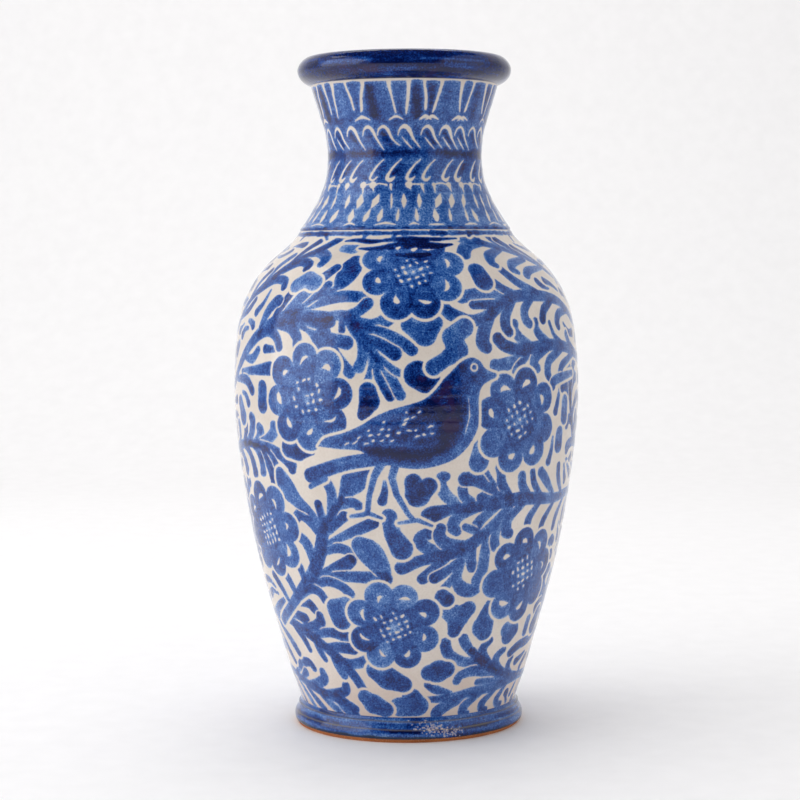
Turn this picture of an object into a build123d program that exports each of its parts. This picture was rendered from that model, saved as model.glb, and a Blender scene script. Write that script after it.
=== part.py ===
"""Talavera pottery vase: hand-thrown earthenware sections luted together with slip, then glazed.

The clay is four sections: a foot ring, a body with its floor, a neck and a rolled lip. Each section
sits on the one below in a seat with a tongue and groove, bedded in slip. Over the clay lie the fired
glaze coats, and the painted cobalt lines that ring the vase are sunk in the glaze and stand a little
proud of it.
Everything is turned about +Z. The origin is the centre of the foot, on the table. Millimetres.
"""

import os

from build123d import *

# Heights above the table
HEIGHT = 350.0
BARE_CLAY_TOP = 2.0
FOOT_TOP = 12.6
FLOOR_UNDERSIDE = 7.5
FLOOR_THICKNESS = 8.5
BELLY_Z = 176.0
NECK_JOINT_Z = 259.8
THROAT_Z = 300.0
LIP_JOINT_Z = 335.5
LIP_BULGE_Z = 343.2

# Outer radii of the glazed vase
WAIST_R = 56.9
FOOT_R = 60.4
BELLY_R = 90.8
JOINT_R = 55.4
THROAT_R = 40.3
NECK_TOP_R = 48.9
LIP_R = 55.8

# Inner radii of the clay
JOINT_BORE_R = 47.6
LIP_BORE_R = 41.6
RECESS_R = 47.0

# Radii of the foot's seat and of the ring that it stands on
FOOT_SEAT_R = 51.6
STANDING_OUTER_R = 59.0
STANDING_INNER_R = 48.6
RECESS_CHAMFER = 1.4

# Radii of the glaze just below and just above the groove at the neck joint
GROOVE_LOW_R = 55.9
GROOVE_HIGH_R = 55.2

# Thicknesses
OUTER_GLAZE = 0.5
INNER_GLAZE = 0.4
BODY_WALL = 8.0
NECK_WALL = 6.6
CORNER_SHARE = 0.05
SLIP = 0.5
PAINT_PROUD = 0.15
PAINT_SUNK = 0.25
PAINT_BEVEL = 0.3
NOTCH_DEPTH = 0.8
NOTCH_HALF = 0.9
TONGUE_HALF = 1.8
TONGUE_DEPTH = 1.8

# Painted lines: lowest and highest point of each
NECK_LINES = {
    "neck_paint_line_low": (283.2, 285.4),
    "neck_paint_line_mid": (297.2, 300.6),
    "neck_paint_line_high": (313.6, 315.2),
}
SHOULDER_LINE = (254.9, 258.6)


def shifted(curve, distance, start, end, count, first=0.04, last=0.96):
    """The curve moved sideways by distance, to its left if positive, and carried on to both end points."""
    points = []
    for i in range(count):
        share = first + (last - first) * i / (count - 1)
        along = curve.tangent_at(share)
        points.append(curve.position_at(share) + Vector(-along.Y, along.X) * distance)
    if start:
        points.insert(0, Vector(*start))
    return Spline(*points, Vector(*end))


def share_at_height(curve, height):
    """The share of a rising curve's length at which it reaches a height."""
    low, high = 0.0, 1.0
    for _ in range(40):
        middle = (low + high) / 2
        low, high = (middle, high) if curve.position_at(middle).Y < height else (low, middle)
    return low


def tongue(inner, outer, height, depth=TONGUE_DEPTH):
    """The points of a seat across the wall, from its outside in, with a V that points down."""
    middle = (inner + outer) / 2
    return [
        (outer, height),
        (middle + TONGUE_HALF, height),
        (middle, height - depth),
        (middle - TONGUE_HALF, height),
        (inner, height),
    ]


# ---------------------------------------------------------------- the shared profile curves
# The glaze's outer surface on the body, from the waist above the foot up to the neck joint.
body_skin = Spline(
    (WAIST_R, FOOT_TOP),
    (60.4, 22.4),
    (66.8, 43.5),
    (78.2, 85.0),
    (86.3, 128.0),
    (BELLY_R, BELLY_Z),
    (89.4, 202.0),
    (85.2, 222.5),
    (78.9, 234.6),
    (70.6, 244.5),
    (61.2, 252.6),
    (57.0, 257.0),
    (GROOVE_LOW_R, NECK_JOINT_Z - NOTCH_HALF),
    tangents=((0.3, 1), (-0.35, 1)),
)
# The same on the neck, from the joint up to the lip.
neck_skin = Spline(
    (GROOVE_HIGH_R, NECK_JOINT_Z + NOTCH_HALF),
    (51.9, 265.4),
    (46.6, 274.2),
    (42.3, 284.0),
    (THROAT_R, THROAT_Z),
    (41.9, 312.5),
    (44.6, 321.5),
    (NECK_TOP_R, LIP_JOINT_Z),
    tangents=((-0.7, 1), (0.32, 1)),
)
# The lip's glazed surface, from its underside, out, over the top and down the inside.
lip_skin = Spline(
    (NECK_TOP_R, LIP_JOINT_Z),
    (53.6, 338.2),
    (LIP_R, LIP_BULGE_Z),
    (53.3, 348.3),
    (48.2, HEIGHT),
    (43.5, 348.3),
    (LIP_BORE_R - OUTER_GLAZE, LIP_BULGE_Z),
    tangents=((1, 0.35), (0, -1)),
)

# The clay under those coats.
body_clay = shifted(
    body_skin,
    OUTER_GLAZE,
    start=(WAIST_R - OUTER_GLAZE, FOOT_TOP),
    end=(JOINT_R, NECK_JOINT_Z - NOTCH_HALF),
    count=30,
)
neck_clay = shifted(
    neck_skin,
    OUTER_GLAZE,
    start=(GROOVE_HIGH_R - OUTER_GLAZE, NECK_JOINT_Z + NOTCH_HALF),
    end=(NECK_TOP_R - OUTER_GLAZE, LIP_JOINT_Z - SLIP / 2),
    count=14,
)
lip_clay = shifted(
    lip_skin,
    OUTER_GLAZE,
    start=(NECK_TOP_R - OUTER_GLAZE, LIP_JOINT_Z + SLIP / 2),
    end=(LIP_BORE_R, LIP_BULGE_Z),
    count=16,
    first=0.05,
    last=0.97,
)

# The clay's inside: a flat floor, a round corner, and the wall up to the neck joint and on to the lip.
floor_top = FLOOR_UNDERSIDE + FLOOR_THICKNESS
body_bore = shifted(
    body_skin,
    BODY_WALL + OUTER_GLAZE,
    start=None,
    end=(JOINT_BORE_R, NECK_JOINT_Z - SLIP / 2),
    count=28,
    first=CORNER_SHARE,
)
corner_top = body_bore @ 0
corner_slope = body_skin.tangent_at(CORNER_SHARE)
corner_r = corner_top.X - (corner_top.Y - floor_top) * corner_slope.X / corner_slope.Y
floor_flat_r = corner_r - (corner_top.Y - floor_top) / corner_slope.Y
floor_corner = TangentArc((floor_flat_r, floor_top), corner_top, tangent=(1, 0))
neck_bore = shifted(
    neck_skin,
    NECK_WALL + OUTER_GLAZE,
    start=(JOINT_BORE_R, NECK_JOINT_Z + SLIP / 2),
    end=(LIP_BORE_R, LIP_JOINT_Z - SLIP / 2),
    count=11,
    first=0.12,
    last=0.9,
)

# The lining's face, inside that.
body_lining = shifted(
    body_bore,
    INNER_GLAZE,
    start=None,
    end=(JOINT_BORE_R - INNER_GLAZE, NECK_JOINT_Z),
    count=28,
    first=0.0,
)
lining_corner = TangentArc(
    (floor_flat_r, floor_top + INNER_GLAZE),
    body_lining @ 0,
    tangent=(1, 0),
)
neck_lining = shifted(
    neck_bore,
    INNER_GLAZE,
    start=(JOINT_BORE_R - INNER_GLAZE, NECK_JOINT_Z),
    end=(LIP_BORE_R - INNER_GLAZE, LIP_JOINT_Z + SLIP / 2),
    count=12,
    first=0.08,
    last=0.92,
)

# The seats between the clay sections.
notch_r = JOINT_R - NOTCH_DEPTH
neck_seat_low = tongue(JOINT_BORE_R, notch_r, NECK_JOINT_Z - SLIP / 2)
neck_seat_high = [(r, z + SLIP) for r, z in neck_seat_low]
lip_seat_low = tongue(LIP_BORE_R, NECK_TOP_R - OUTER_GLAZE, LIP_JOINT_Z - SLIP / 2, depth=1.4)
lip_seat_high = [(r, z + SLIP) for r, z in lip_seat_low]
foot_seat_high = [
    (RECESS_R, FLOOR_UNDERSIDE),
    (FOOT_SEAT_R, FLOOR_UNDERSIDE),
    (WAIST_R - OUTER_GLAZE, FOOT_TOP),
]
foot_seat_low = [(r, z - SLIP) for r, z in foot_seat_high]


def paint_section(skin, low, high):
    """The section of a painted line between two heights of a skin: bevelled outside, sunk in the glaze."""
    start = skin.position_at(share_at_height(skin, low))
    end = skin.position_at(share_at_height(skin, high))
    along = (end - start).normalized()
    outward = Vector(along.Y, -along.X)
    bevel = along * PAINT_BEVEL
    corners = [
        start,
        start + bevel + outward * PAINT_PROUD,
        end - bevel + outward * PAINT_PROUD,
        end,
        end - bevel - outward * PAINT_SUNK,
        start + bevel - outward * PAINT_SUNK,
    ]
    return [(corner.X, corner.Y) for corner in corners]


shoulder_section = paint_section(body_skin, *SHOULDER_LINE)
neck_sections = {name: paint_section(neck_skin, *heights) for name, heights in NECK_LINES.items()}

os.makedirs("parts", exist_ok=True)

# ---------------------------------------------------------------- the foot
# Two ridges left by the turning tool divide the foot's outside into three shallow bands.
upper_ridge = (58.4, 10.6)
lower_ridge = (60.0, 6.6)
glaze_edge = (FOOT_R, BARE_CLAY_TOP)


def foot_outline(inset, top):
    """The foot's outside from its top down to the glaze's edge, moved in by inset."""
    (r1, z1), (r2, z2), (r3, z3) = upper_ridge, lower_ridge, glaze_edge
    ThreePointArc((WAIST_R - inset, top), (r1 - inset - 1.0, z1 + 0.6), (r1 - inset, z1))
    ThreePointArc((r1 - inset, z1), (r1 - inset + 0.6, z1 - 2.2), (r2 - inset, z2))
    ThreePointArc((r2 - inset, z2), (r2 - inset + 0.6, z2 - 2.2), (r3 - inset, z3))


with BuildPart() as foot_ring:
    with BuildSketch(Plane.XZ):
        with BuildLine():
            foot_outline(OUTER_GLAZE, FOOT_TOP - SLIP)
            Polyline(
                (FOOT_R - OUTER_GLAZE, BARE_CLAY_TOP),
                (STANDING_OUTER_R, 0),
                (STANDING_INNER_R, 0),
                (RECESS_R, RECESS_CHAMFER),
                *foot_seat_low,
            )
        make_face()
    revolve(axis=Axis.Z)
foot_ring.part.label = "foot_ring"
export_step(foot_ring.part, "parts/foot_ring.step")

with BuildPart() as foot_slip_joint:
    with BuildSketch(Plane.XZ):
        with BuildLine():
            Polyline(*foot_seat_low, *reversed(foot_seat_high), close=True)
        make_face()
    revolve(axis=Axis.Z)
foot_slip_joint.part.label = "foot_slip_joint"
export_step(foot_slip_joint.part, "parts/foot_slip_joint.step")

with BuildPart() as foot_glaze:
    with BuildSketch(Plane.XZ):
        with BuildLine():
            foot_outline(0, FOOT_TOP)
            foot_outline(OUTER_GLAZE, FOOT_TOP - SLIP)
            Line((FOOT_R, BARE_CLAY_TOP), (FOOT_R - OUTER_GLAZE, BARE_CLAY_TOP))
            Polyline(
                (WAIST_R - OUTER_GLAZE, FOOT_TOP - SLIP),
                (WAIST_R - OUTER_GLAZE, FOOT_TOP),
                (WAIST_R, FOOT_TOP),
            )
        make_face()
    revolve(axis=Axis.Z)
foot_glaze.part.label = "foot_glaze"
export_step(foot_glaze.part, "parts/foot_glaze.step")

# ---------------------------------------------------------------- the body
with BuildPart() as body_wall:
    with BuildSketch(Plane.XZ):
        with BuildLine():
            add(body_clay)
            Line((JOINT_R, NECK_JOINT_Z - NOTCH_HALF), neck_seat_low[0])
            Polyline(*neck_seat_low)
            add(body_bore)
            add(floor_corner)
            Polyline(
                (floor_flat_r, floor_top),
                (0, floor_top),
                (0, FLOOR_UNDERSIDE),
                *foot_seat_high,
            )
        make_face()
    revolve(axis=Axis.Z)
body_wall.part.label = "body_wall"
export_step(body_wall.part, "parts/body_wall.step")

with BuildPart() as body_glaze:
    with BuildSketch(Plane.XZ):
        with BuildLine():
            add(body_skin)
            add(body_clay)
            Line((WAIST_R, FOOT_TOP), (WAIST_R - OUTER_GLAZE, FOOT_TOP))
            Polyline(
                (GROOVE_LOW_R, NECK_JOINT_Z - NOTCH_HALF),
                (notch_r + OUTER_GLAZE, NECK_JOINT_Z),
                (notch_r, NECK_JOINT_Z),
                neck_seat_low[0],
                (JOINT_R, NECK_JOINT_Z - NOTCH_HALF),
            )
        make_face()
        with BuildLine():
            Polyline(*shoulder_section, close=True)
        make_face(mode=Mode.SUBTRACT)
    revolve(axis=Axis.Z)
body_glaze.part.label = "body_glaze"
export_step(body_glaze.part, "parts/body_glaze.step")

# ---------------------------------------------------------------- the neck
with BuildPart() as neck_slip_joint:
    with BuildSketch(Plane.XZ):
        with BuildLine():
            Polyline(*neck_seat_low, *reversed(neck_seat_high), close=True)
        make_face()
    revolve(axis=Axis.Z)
neck_slip_joint.part.label = "neck_slip_joint"
export_step(neck_slip_joint.part, "parts/neck_slip_joint.step")

with BuildPart() as neck_wall:
    with BuildSketch(Plane.XZ):
        with BuildLine():
            add(neck_clay)
            Polyline(*lip_seat_low)
            add(neck_bore)
            Polyline(*neck_seat_high)
            Line(neck_seat_high[0], (GROOVE_HIGH_R - OUTER_GLAZE, NECK_JOINT_Z + NOTCH_HALF))
        make_face()
    revolve(axis=Axis.Z)
neck_wall.part.label = "neck_wall"
export_step(neck_wall.part, "parts/neck_wall.step")

with BuildPart() as neck_glaze:
    with BuildSketch(Plane.XZ):
        with BuildLine():
            add(neck_skin)
            add(neck_clay)
            Polyline(
                (GROOVE_HIGH_R, NECK_JOINT_Z + NOTCH_HALF),
                (notch_r + OUTER_GLAZE, NECK_JOINT_Z),
                (notch_r, NECK_JOINT_Z),
                neck_seat_high[0],
                (GROOVE_HIGH_R - OUTER_GLAZE, NECK_JOINT_Z + NOTCH_HALF),
            )
            Polyline(
                (NECK_TOP_R, LIP_JOINT_Z),
                (NECK_TOP_R - OUTER_GLAZE, LIP_JOINT_Z),
                lip_seat_low[0],
            )
        make_face()
        for section in neck_sections.values():
            with BuildLine():
                Polyline(*section, close=True)
            make_face(mode=Mode.SUBTRACT)
    revolve(axis=Axis.Z)
neck_glaze.part.label = "neck_glaze"
export_step(neck_glaze.part, "parts/neck_glaze.step")

# ---------------------------------------------------------------- the lip
with BuildPart() as lip_slip_joint:
    with BuildSketch(Plane.XZ):
        with BuildLine():
            Polyline(*lip_seat_low, *reversed(lip_seat_high), close=True)
        make_face()
    revolve(axis=Axis.Z)
lip_slip_joint.part.label = "lip_slip_joint"
export_step(lip_slip_joint.part, "parts/lip_slip_joint.step")

with BuildPart() as lip_ring:
    with BuildSketch(Plane.XZ):
        with BuildLine():
            add(lip_clay)
            Line((LIP_BORE_R, LIP_BULGE_Z), lip_seat_high[-1])
            Polyline(*lip_seat_high)
        make_face()
    revolve(axis=Axis.Z)
lip_ring.part.label = "lip_ring"
export_step(lip_ring.part, "parts/lip_ring.step")

with BuildPart() as lip_glaze:
    with BuildSketch(Plane.XZ):
        with BuildLine():
            add(lip_skin)
            add(lip_clay)
            Polyline(
                (NECK_TOP_R, LIP_JOINT_Z),
                (NECK_TOP_R - OUTER_GLAZE, LIP_JOINT_Z),
                lip_seat_high[0],
            )
            Polyline(
                (LIP_BORE_R - OUTER_GLAZE, LIP_BULGE_Z),
                (LIP_BORE_R - OUTER_GLAZE, LIP_JOINT_Z + SLIP / 2),
                lip_seat_high[-1],
                (LIP_BORE_R, LIP_BULGE_Z),
            )
        make_face()
    revolve(axis=Axis.Z)
lip_glaze.part.label = "lip_glaze"
export_step(lip_glaze.part, "parts/lip_glaze.step")

# ---------------------------------------------------------------- the lining
with BuildPart() as inner_glaze:
    with BuildSketch(Plane.XZ):
        with BuildLine():
            Polyline((0, floor_top + INNER_GLAZE), (0, floor_top), (floor_flat_r, floor_top))
            add(floor_corner)
            add(body_bore)
            Line(neck_seat_low[-1], neck_seat_high[-1])
            add(neck_bore)
            Polyline(
                lip_seat_low[-1],
                lip_seat_high[-1],
                (LIP_BORE_R - INNER_GLAZE, LIP_JOINT_Z + SLIP / 2),
            )
            add(neck_lining)
            add(body_lining)
            add(lining_corner)
            Line((floor_flat_r, floor_top + INNER_GLAZE), (0, floor_top + INNER_GLAZE))
        make_face()
    revolve(axis=Axis.Z)
inner_glaze.part.label = "inner_glaze"
export_step(inner_glaze.part, "parts/inner_glaze.step")


# ---------------------------------------------------------------- the painted lines
def painted_line(name, section):
    """A brushed ring of cobalt, turned from its section and saved under its name."""
    with BuildPart() as line:
        with BuildSketch(Plane.XZ):
            with BuildLine():
                Polyline(*section, close=True)
            make_face()
        revolve(axis=Axis.Z)
    line.part.label = name
    export_step(line.part, f"parts/{name}.step")


painted_line("shoulder_paint_line", shoulder_section)
for line_name, line_section in neck_sections.items():
    painted_line(line_name, line_section)
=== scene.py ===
"""The looks of the talavera vase: glaze skins over the turned frame, painted in cobalt, in a white tent.

Brushwork is laid on each skin in millimetres, as angle round the vase and distance along its outline.
Every point of a skin then carries two values that its material reads: "ink", how deep inside the paint
it lies, negative outside, and "load", how much cobalt the brush left there.

Words used throughout: a place is (degrees from the front, height), a spot is (angle, run along the
outline), and a stroke is (spots, half widths, tone at its start, tone at its end).
"""

import math
import random

import bpy
import numpy as np
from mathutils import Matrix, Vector


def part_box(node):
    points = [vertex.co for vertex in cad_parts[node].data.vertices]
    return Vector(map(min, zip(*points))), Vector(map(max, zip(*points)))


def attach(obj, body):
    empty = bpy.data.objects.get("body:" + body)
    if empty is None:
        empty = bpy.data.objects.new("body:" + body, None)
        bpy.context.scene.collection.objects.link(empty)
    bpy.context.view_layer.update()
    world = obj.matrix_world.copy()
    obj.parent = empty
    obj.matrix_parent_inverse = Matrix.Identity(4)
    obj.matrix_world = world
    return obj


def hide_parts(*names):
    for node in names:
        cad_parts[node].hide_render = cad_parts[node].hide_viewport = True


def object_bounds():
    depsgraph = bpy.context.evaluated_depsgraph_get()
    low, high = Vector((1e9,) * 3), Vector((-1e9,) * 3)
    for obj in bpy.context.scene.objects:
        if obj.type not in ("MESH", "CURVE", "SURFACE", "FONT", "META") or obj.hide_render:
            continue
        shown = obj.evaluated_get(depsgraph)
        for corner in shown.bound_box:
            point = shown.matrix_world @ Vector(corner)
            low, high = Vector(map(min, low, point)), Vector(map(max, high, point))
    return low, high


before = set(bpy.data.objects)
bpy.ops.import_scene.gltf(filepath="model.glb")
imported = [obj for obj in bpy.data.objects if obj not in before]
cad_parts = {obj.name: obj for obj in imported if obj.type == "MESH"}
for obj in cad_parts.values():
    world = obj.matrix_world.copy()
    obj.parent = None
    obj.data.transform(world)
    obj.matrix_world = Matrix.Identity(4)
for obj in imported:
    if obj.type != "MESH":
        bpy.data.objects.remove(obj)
bounds_at_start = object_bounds()
MM = 0.001

# Outlines, in millimetres
GROOVE_MARGIN = 0.05  # how far inside a painted line a corner lies to be left out
CLOSEST = 0.12  # corners nearer than this to the one before are left out
LIP_BORE = 41.1  # radius of the glazed lip's opening

# Brushwork, in millimetres
REACH = 6.0  # how far from an edge the distance to it is still told
GAP = 1.3  # bare glaze kept round a motif
SLIT = 0.55  # bare glaze between the petals of one motif
STEP = 0.55  # spacing of a skin's points
EDGE = 0.8  # the width over which a stroke's load and relief rise at its edge
OVERLAP = 0.22  # share of the fainter load that is added where strokes cross
SOLID = 3.0  # ink where a skin is painted all over
SMALLEST_FILL = 2.9  # room inside its gap of the smallest bare place that takes a loose comma
MOST_FILLS = 2600  # the most commas that are pressed
FULLNESS = 1.12  # how much fuller than listed the drawn strokes are pressed

dice = random.Random(11)


# ---------------------------------------------------------------- the turned outlines
def outline(node, faces_out, order, lines=()):
    """(radius, height) in mm along a turned node, from the faces that faces_out accepts.

    Corners that lie in a painted line are left out.
    """
    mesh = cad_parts[node].data
    grooves = [[corner[2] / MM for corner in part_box(line)] for line in lines]
    corners = set()
    for face in mesh.polygons:
        reach = max(math.hypot(face.center.x, face.center.y), 1e-9)
        outward = (face.normal.x * face.center.x + face.normal.y * face.center.y) / reach
        if faces_out(reach / MM, face.center.z / MM, outward, face.normal.z):
            for corner in face.vertices:
                place = mesh.vertices[corner].co
                if any(low + GROOVE_MARGIN < place.z / MM < high - GROOVE_MARGIN for low, high in grooves):
                    continue
                corners.add((round(math.hypot(place.x, place.y) / MM, 2), round(place.z / MM, 2)))
    return np.array(sorted(corners, key=order))


def along(path, spacing):
    """The path's radius, height and run, evenly spaced on a smooth curve through its points."""
    steps = np.hypot(*np.diff(path, axis=0).T)
    path = path[np.concatenate([[True], steps > CLOSEST])]
    runs = np.concatenate([[0], np.cumsum(np.hypot(*np.diff(path, axis=0).T))])
    slopes = np.gradient(path, runs, axis=0)
    run = np.linspace(0, runs[-1], int(round(runs[-1] / spacing)) + 1)
    span = np.clip(np.searchsorted(runs, run, side="right") - 1, 0, len(runs) - 2)
    length = (runs[span + 1] - runs[span])[:, None]
    t = (run - runs[span])[:, None] / length
    curve = (
        (1 + 2 * t) * (1 - t) ** 2 * path[span]
        + t * (1 - t) ** 2 * length * slopes[span]
        + t * t * (3 - 2 * t) * path[span + 1]
        - t * t * (1 - t) * length * slopes[span + 1]
    )
    return curve[:, 0], curve[:, 1], run


def faces_outward(radius, height, outward, up):
    """Whether a face looks away from the vase's axis."""
    return outward > 0.2


def upward(point):
    """The way up a wall: by height."""
    return point[1]


NECK_LINES = ["neck_paint_line_low", "neck_paint_line_mid", "neck_paint_line_high"]
body_path = outline("body_glaze", faces_outward, upward, ["shoulder_paint_line"])
neck_path = outline("neck_glaze", faces_outward, upward, NECK_LINES)
foot_path = outline("foot_glaze", faces_outward, upward)

lip_low, lip_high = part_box("lip_glaze")
lip_middle = ((lip_high[0] / MM + LIP_BORE) / 2, (lip_high[2] / MM + lip_low[2] / MM) / 2)


def round_the_lip(point):
    """The way round the lip's roll, from its underside out, up, over and down the inside."""
    across, up = point[0] - lip_middle[0], point[1] - lip_middle[1]
    return (math.atan2(up, across) + math.radians(100)) % (2 * math.pi)


def lip_faces(radius, height, outward, up):
    """Whether a face looks away from the middle of the lip's roll."""
    return outward * (radius - lip_middle[0]) + up * (height - lip_middle[1]) > 2.5


lip_path = outline("lip_glaze", lip_faces, round_the_lip)


# ---------------------------------------------------------------- brushwork
class Canvas:
    """A turned skin laid out flat, with the paint on it."""

    def __init__(self, path, spacing=STEP):
        self.radius, self.height, self.run = along(path, spacing)
        self.columns = int(round(2 * math.pi * self.radius.max() / spacing / 12)) * 12
        self.turn = 2 * math.pi / self.columns
        self.ink = np.full((len(self.run), self.columns), -REACH, dtype=np.float32)
        self.load = np.zeros_like(self.ink)

    def spot(self, degrees, height):
        """The spot of one place."""
        return (math.radians(degrees), float(np.interp(height, self.height, self.run)))

    def spots(self, places, turn=0):
        """The spots of places, turned round the vase; what follows degrees and height is passed over."""
        return [self.spot(place[0] + turn, place[1]) for place in places]

    def girth(self, run):
        """The radius at a run."""
        return np.interp(run, self.run, self.radius)

    def window(self, spots, spread):
        """The rows and columns within spread of some spots, and the columns' angles."""
        runs = [spot[1] for spot in spots]
        angles = [spot[0] for spot in spots]
        first = max(int((min(runs) - spread) / self.run[1]), 0)
        last = min(int((max(runs) + spread) / self.run[1]) + 2, len(self.run))
        first = min(first, len(self.run) - 2)
        last = max(last, first + 2)
        wide = spread / self.radius[first:last].min()
        left = int(math.floor((min(angles) - wide) / self.turn))
        right = int(math.ceil((max(angles) + wide) / self.turn))
        right = min(right, left + self.columns - 1)
        columns = np.arange(left, right + 1)
        return slice(first, last), columns, columns * self.turn

    def field(self, spots, widths):
        """Distance outside a stroke's edge and share of its length, over the window that it reaches."""
        rows, columns, angles = self.window(spots, max(widths) + REACH)
        girth = self.radius[rows, None]
        run = self.run[rows, None]
        outside = np.full((run.shape[0], len(columns)), REACH, dtype=np.float32)
        share = np.zeros_like(outside)
        pieces = len(spots) - 1
        for i in range(pieces):
            (angle_a, run_a), (angle_b, run_b) = spots[i], spots[i + 1]
            middle = (angle_a + angle_b) / 2
            across = girth * (angles - middle)
            start = self.girth(run_a) * (angle_a - middle)
            reach = self.girth(run_b) * (angle_b - middle) - start
            rise = run_b - run_a
            length = max(reach * reach + rise * rise, 1e-6)
            part = np.clip(((across - start) * reach + (run - run_a) * rise) / length, 0, 1)
            gone = np.hypot(across - start - part * reach, run - run_a - part * rise)
            gone -= widths[i] + (widths[i + 1] - widths[i]) * part
            nearer = gone < outside
            outside[nearer] = gone[nearer]
            share[nearer] = ((i + part) / pieces)[nearer]
        return np.ix_(np.arange(rows.start, rows.stop), columns % self.columns), outside, share

    def lay(self, strokes, gap=GAP, slit=0.0, stems=()):
        """Paints a motif, keeping a white gap from everything painted before it.

        A slit, in mm, is left between each stroke's outer part and the strokes before it.
        The stems join the strokes and are laid last.
        """
        depth = np.full_like(self.ink, -REACH)
        load = np.zeros_like(self.load)
        for count, (spots, widths, start_tone, end_tone) in enumerate([*strokes, *stems]):
            if slit and count < len(strokes):
                root = len(spots) // 3
                where, outside, _ = self.field(spots[root:], widths[root:])
                depth[where] = np.minimum(depth[where], outside - slit)
            where, outside, share = self.field(spots, widths)
            depth[where] = np.maximum(depth[where], -outside)
            tone = start_tone + (end_tone - start_tone) * share
            tone = tone * np.clip(0.5 - outside / EDGE, 0, 1)
            old = load[where]
            load[where] = np.maximum(old, tone) + OVERLAP * np.minimum(old, tone)
        self.settle(depth, load, gap)

    def settle(self, depth, load, gap):
        """Adds a motif's ink, cut back to keep the gap, and the motif's load where its ink lies."""
        depth = np.minimum(depth, -self.ink - gap)
        self.ink = np.maximum(self.ink, depth)
        just_outside = -0.6
        fresh = depth > just_outside
        self.load[fresh] = np.maximum(load, self.load)[fresh]

    def fill(self, corners, tone, edge_tone):
        """Paints the inside of a closed outline, paler along its edge."""
        spots = smooth([self.spot(*corner) for corner in corners] + [self.spot(*corners[0])], 6)
        hair = 0.01
        where, outside, _ = self.field(spots, [hair] * len(spots))
        rows, columns, angles = self.window(spots, hair + REACH)
        run = self.run[rows, None]
        inside = np.zeros(outside.shape, dtype=bool)
        for (angle_a, run_a), (angle_b, run_b) in zip(spots, spots[1:]):
            if run_a != run_b:
                crossing = angle_a + (run - run_a) / (run_b - run_a) * (angle_b - angle_a)
                inside ^= ((run_a > run) != (run_b > run)) & (angles < crossing)
        signed = np.where(inside, outside, -outside)
        depth = np.full_like(self.ink, -REACH)
        depth[where] = signed
        load = np.zeros_like(self.load)
        rim, fade = 1.5, 4
        load[where] = edge_tone + (tone - edge_tone) * np.clip((signed - rim) / fade, 0, 1)
        self.settle(depth, load, GAP)

    def scratch(self, spots, widths):
        """Takes paint away along a stroke."""
        where, outside, _ = self.field(spots, widths)
        self.ink[where] = np.minimum(self.ink[where], outside)

    def wash(self, spots, width, amount, soft):
        """Adds to the load, or lightens it, along a stroke of one half width that fades over soft mm."""
        where, outside, _ = self.field(spots, [width] * len(spots))
        self.load[where] += amount * np.clip(0.5 - outside / soft, 0, 1)


def part_way(t, p, q, r, s):
    """The value a share t of the way from q to r, on a curve that comes from p and goes on to s."""
    bend = 2 * p - 5 * q + 4 * r - s
    twist = 3 * q - p - 3 * r + s
    return 0.5 * (2 * q + (r - p) * t + bend * t**2 + twist * t**3)


def smooth(points, steps):
    """A curve through the points, with steps places on each span."""
    padded = [points[0]] + list(points) + [points[-1]]
    curve = []
    for span in zip(padded, padded[1:], padded[2:], padded[3:]):
        for i in range(steps):
            curve.append(tuple(part_way(i / steps, *values) for values in zip(*span)))
    return curve + [points[-1]]


def offset(canvas, spot, across, up):
    """The spot that lies so many mm across and up from another."""
    run = spot[1] + up
    return (spot[0] + across / canvas.girth(run), run)


def polar(canvas, spot, reach, angle):
    """The spot that lies so many mm from another, at an angle from level."""
    return offset(canvas, spot, reach * math.cos(angle), reach * math.sin(angle))


def between(canvas, origin, spot):
    """How far a spot lies across and up from an origin, in mm."""
    return (canvas.girth(spot[1]) * (spot[0] - origin[0]), spot[1] - origin[1])


def bearing(canvas, start, end):
    """The direction from one spot to the next, across and up, and the distance in mm."""
    across, up = between(canvas, start, end)
    reach = max(math.hypot(across, up), 1e-6)
    return (across / reach, up / reach), reach


def swept(canvas, turn, line):
    """The spots and half widths along a line of (degrees, height, half width)."""
    places = smooth([(degrees + turn, height, wide) for degrees, height, wide in line], 4)
    return canvas.spots(places), [wide for _, _, wide in places]


# ---------------------------------------------------------------- motifs
def leaf(canvas, root, heading, tip, width):
    """A comma stroke from a stem: it leaves along the stem, bends out and ends round and full."""
    thin, pull = 1.3, 0.72
    x, y = between(canvas, root, tip)
    length = math.hypot(x, y)
    lean_x, lean_y = heading[0] * length * pull, heading[1] * length * pull
    spots = []
    widths = []
    for i in range(9):
        t = i / 8
        lean, end = 2 * t * (1 - t), t * t
        spots.append(offset(canvas, root, lean * lean_x + end * x, lean * lean_y + end * y))
        widths.append(thin + (width - thin) * t**0.6)
    side = 1 if heading[0] * y - heading[1] * x > 0 else -1
    bend = math.atan2(y - lean_y, x - lean_x) + side * dice.uniform(0.7, 1.3)
    curl = dice.uniform(0.5, 2.2)
    spots.append(offset(canvas, root, x + curl * math.cos(bend), y + curl * math.sin(bend)))
    widths.append(width * dice.uniform(0.8, 0.95))
    tone = dice.uniform(0.34, 0.46)
    return spots, widths, tone, tone + dice.uniform(0.1, 0.4)


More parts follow.
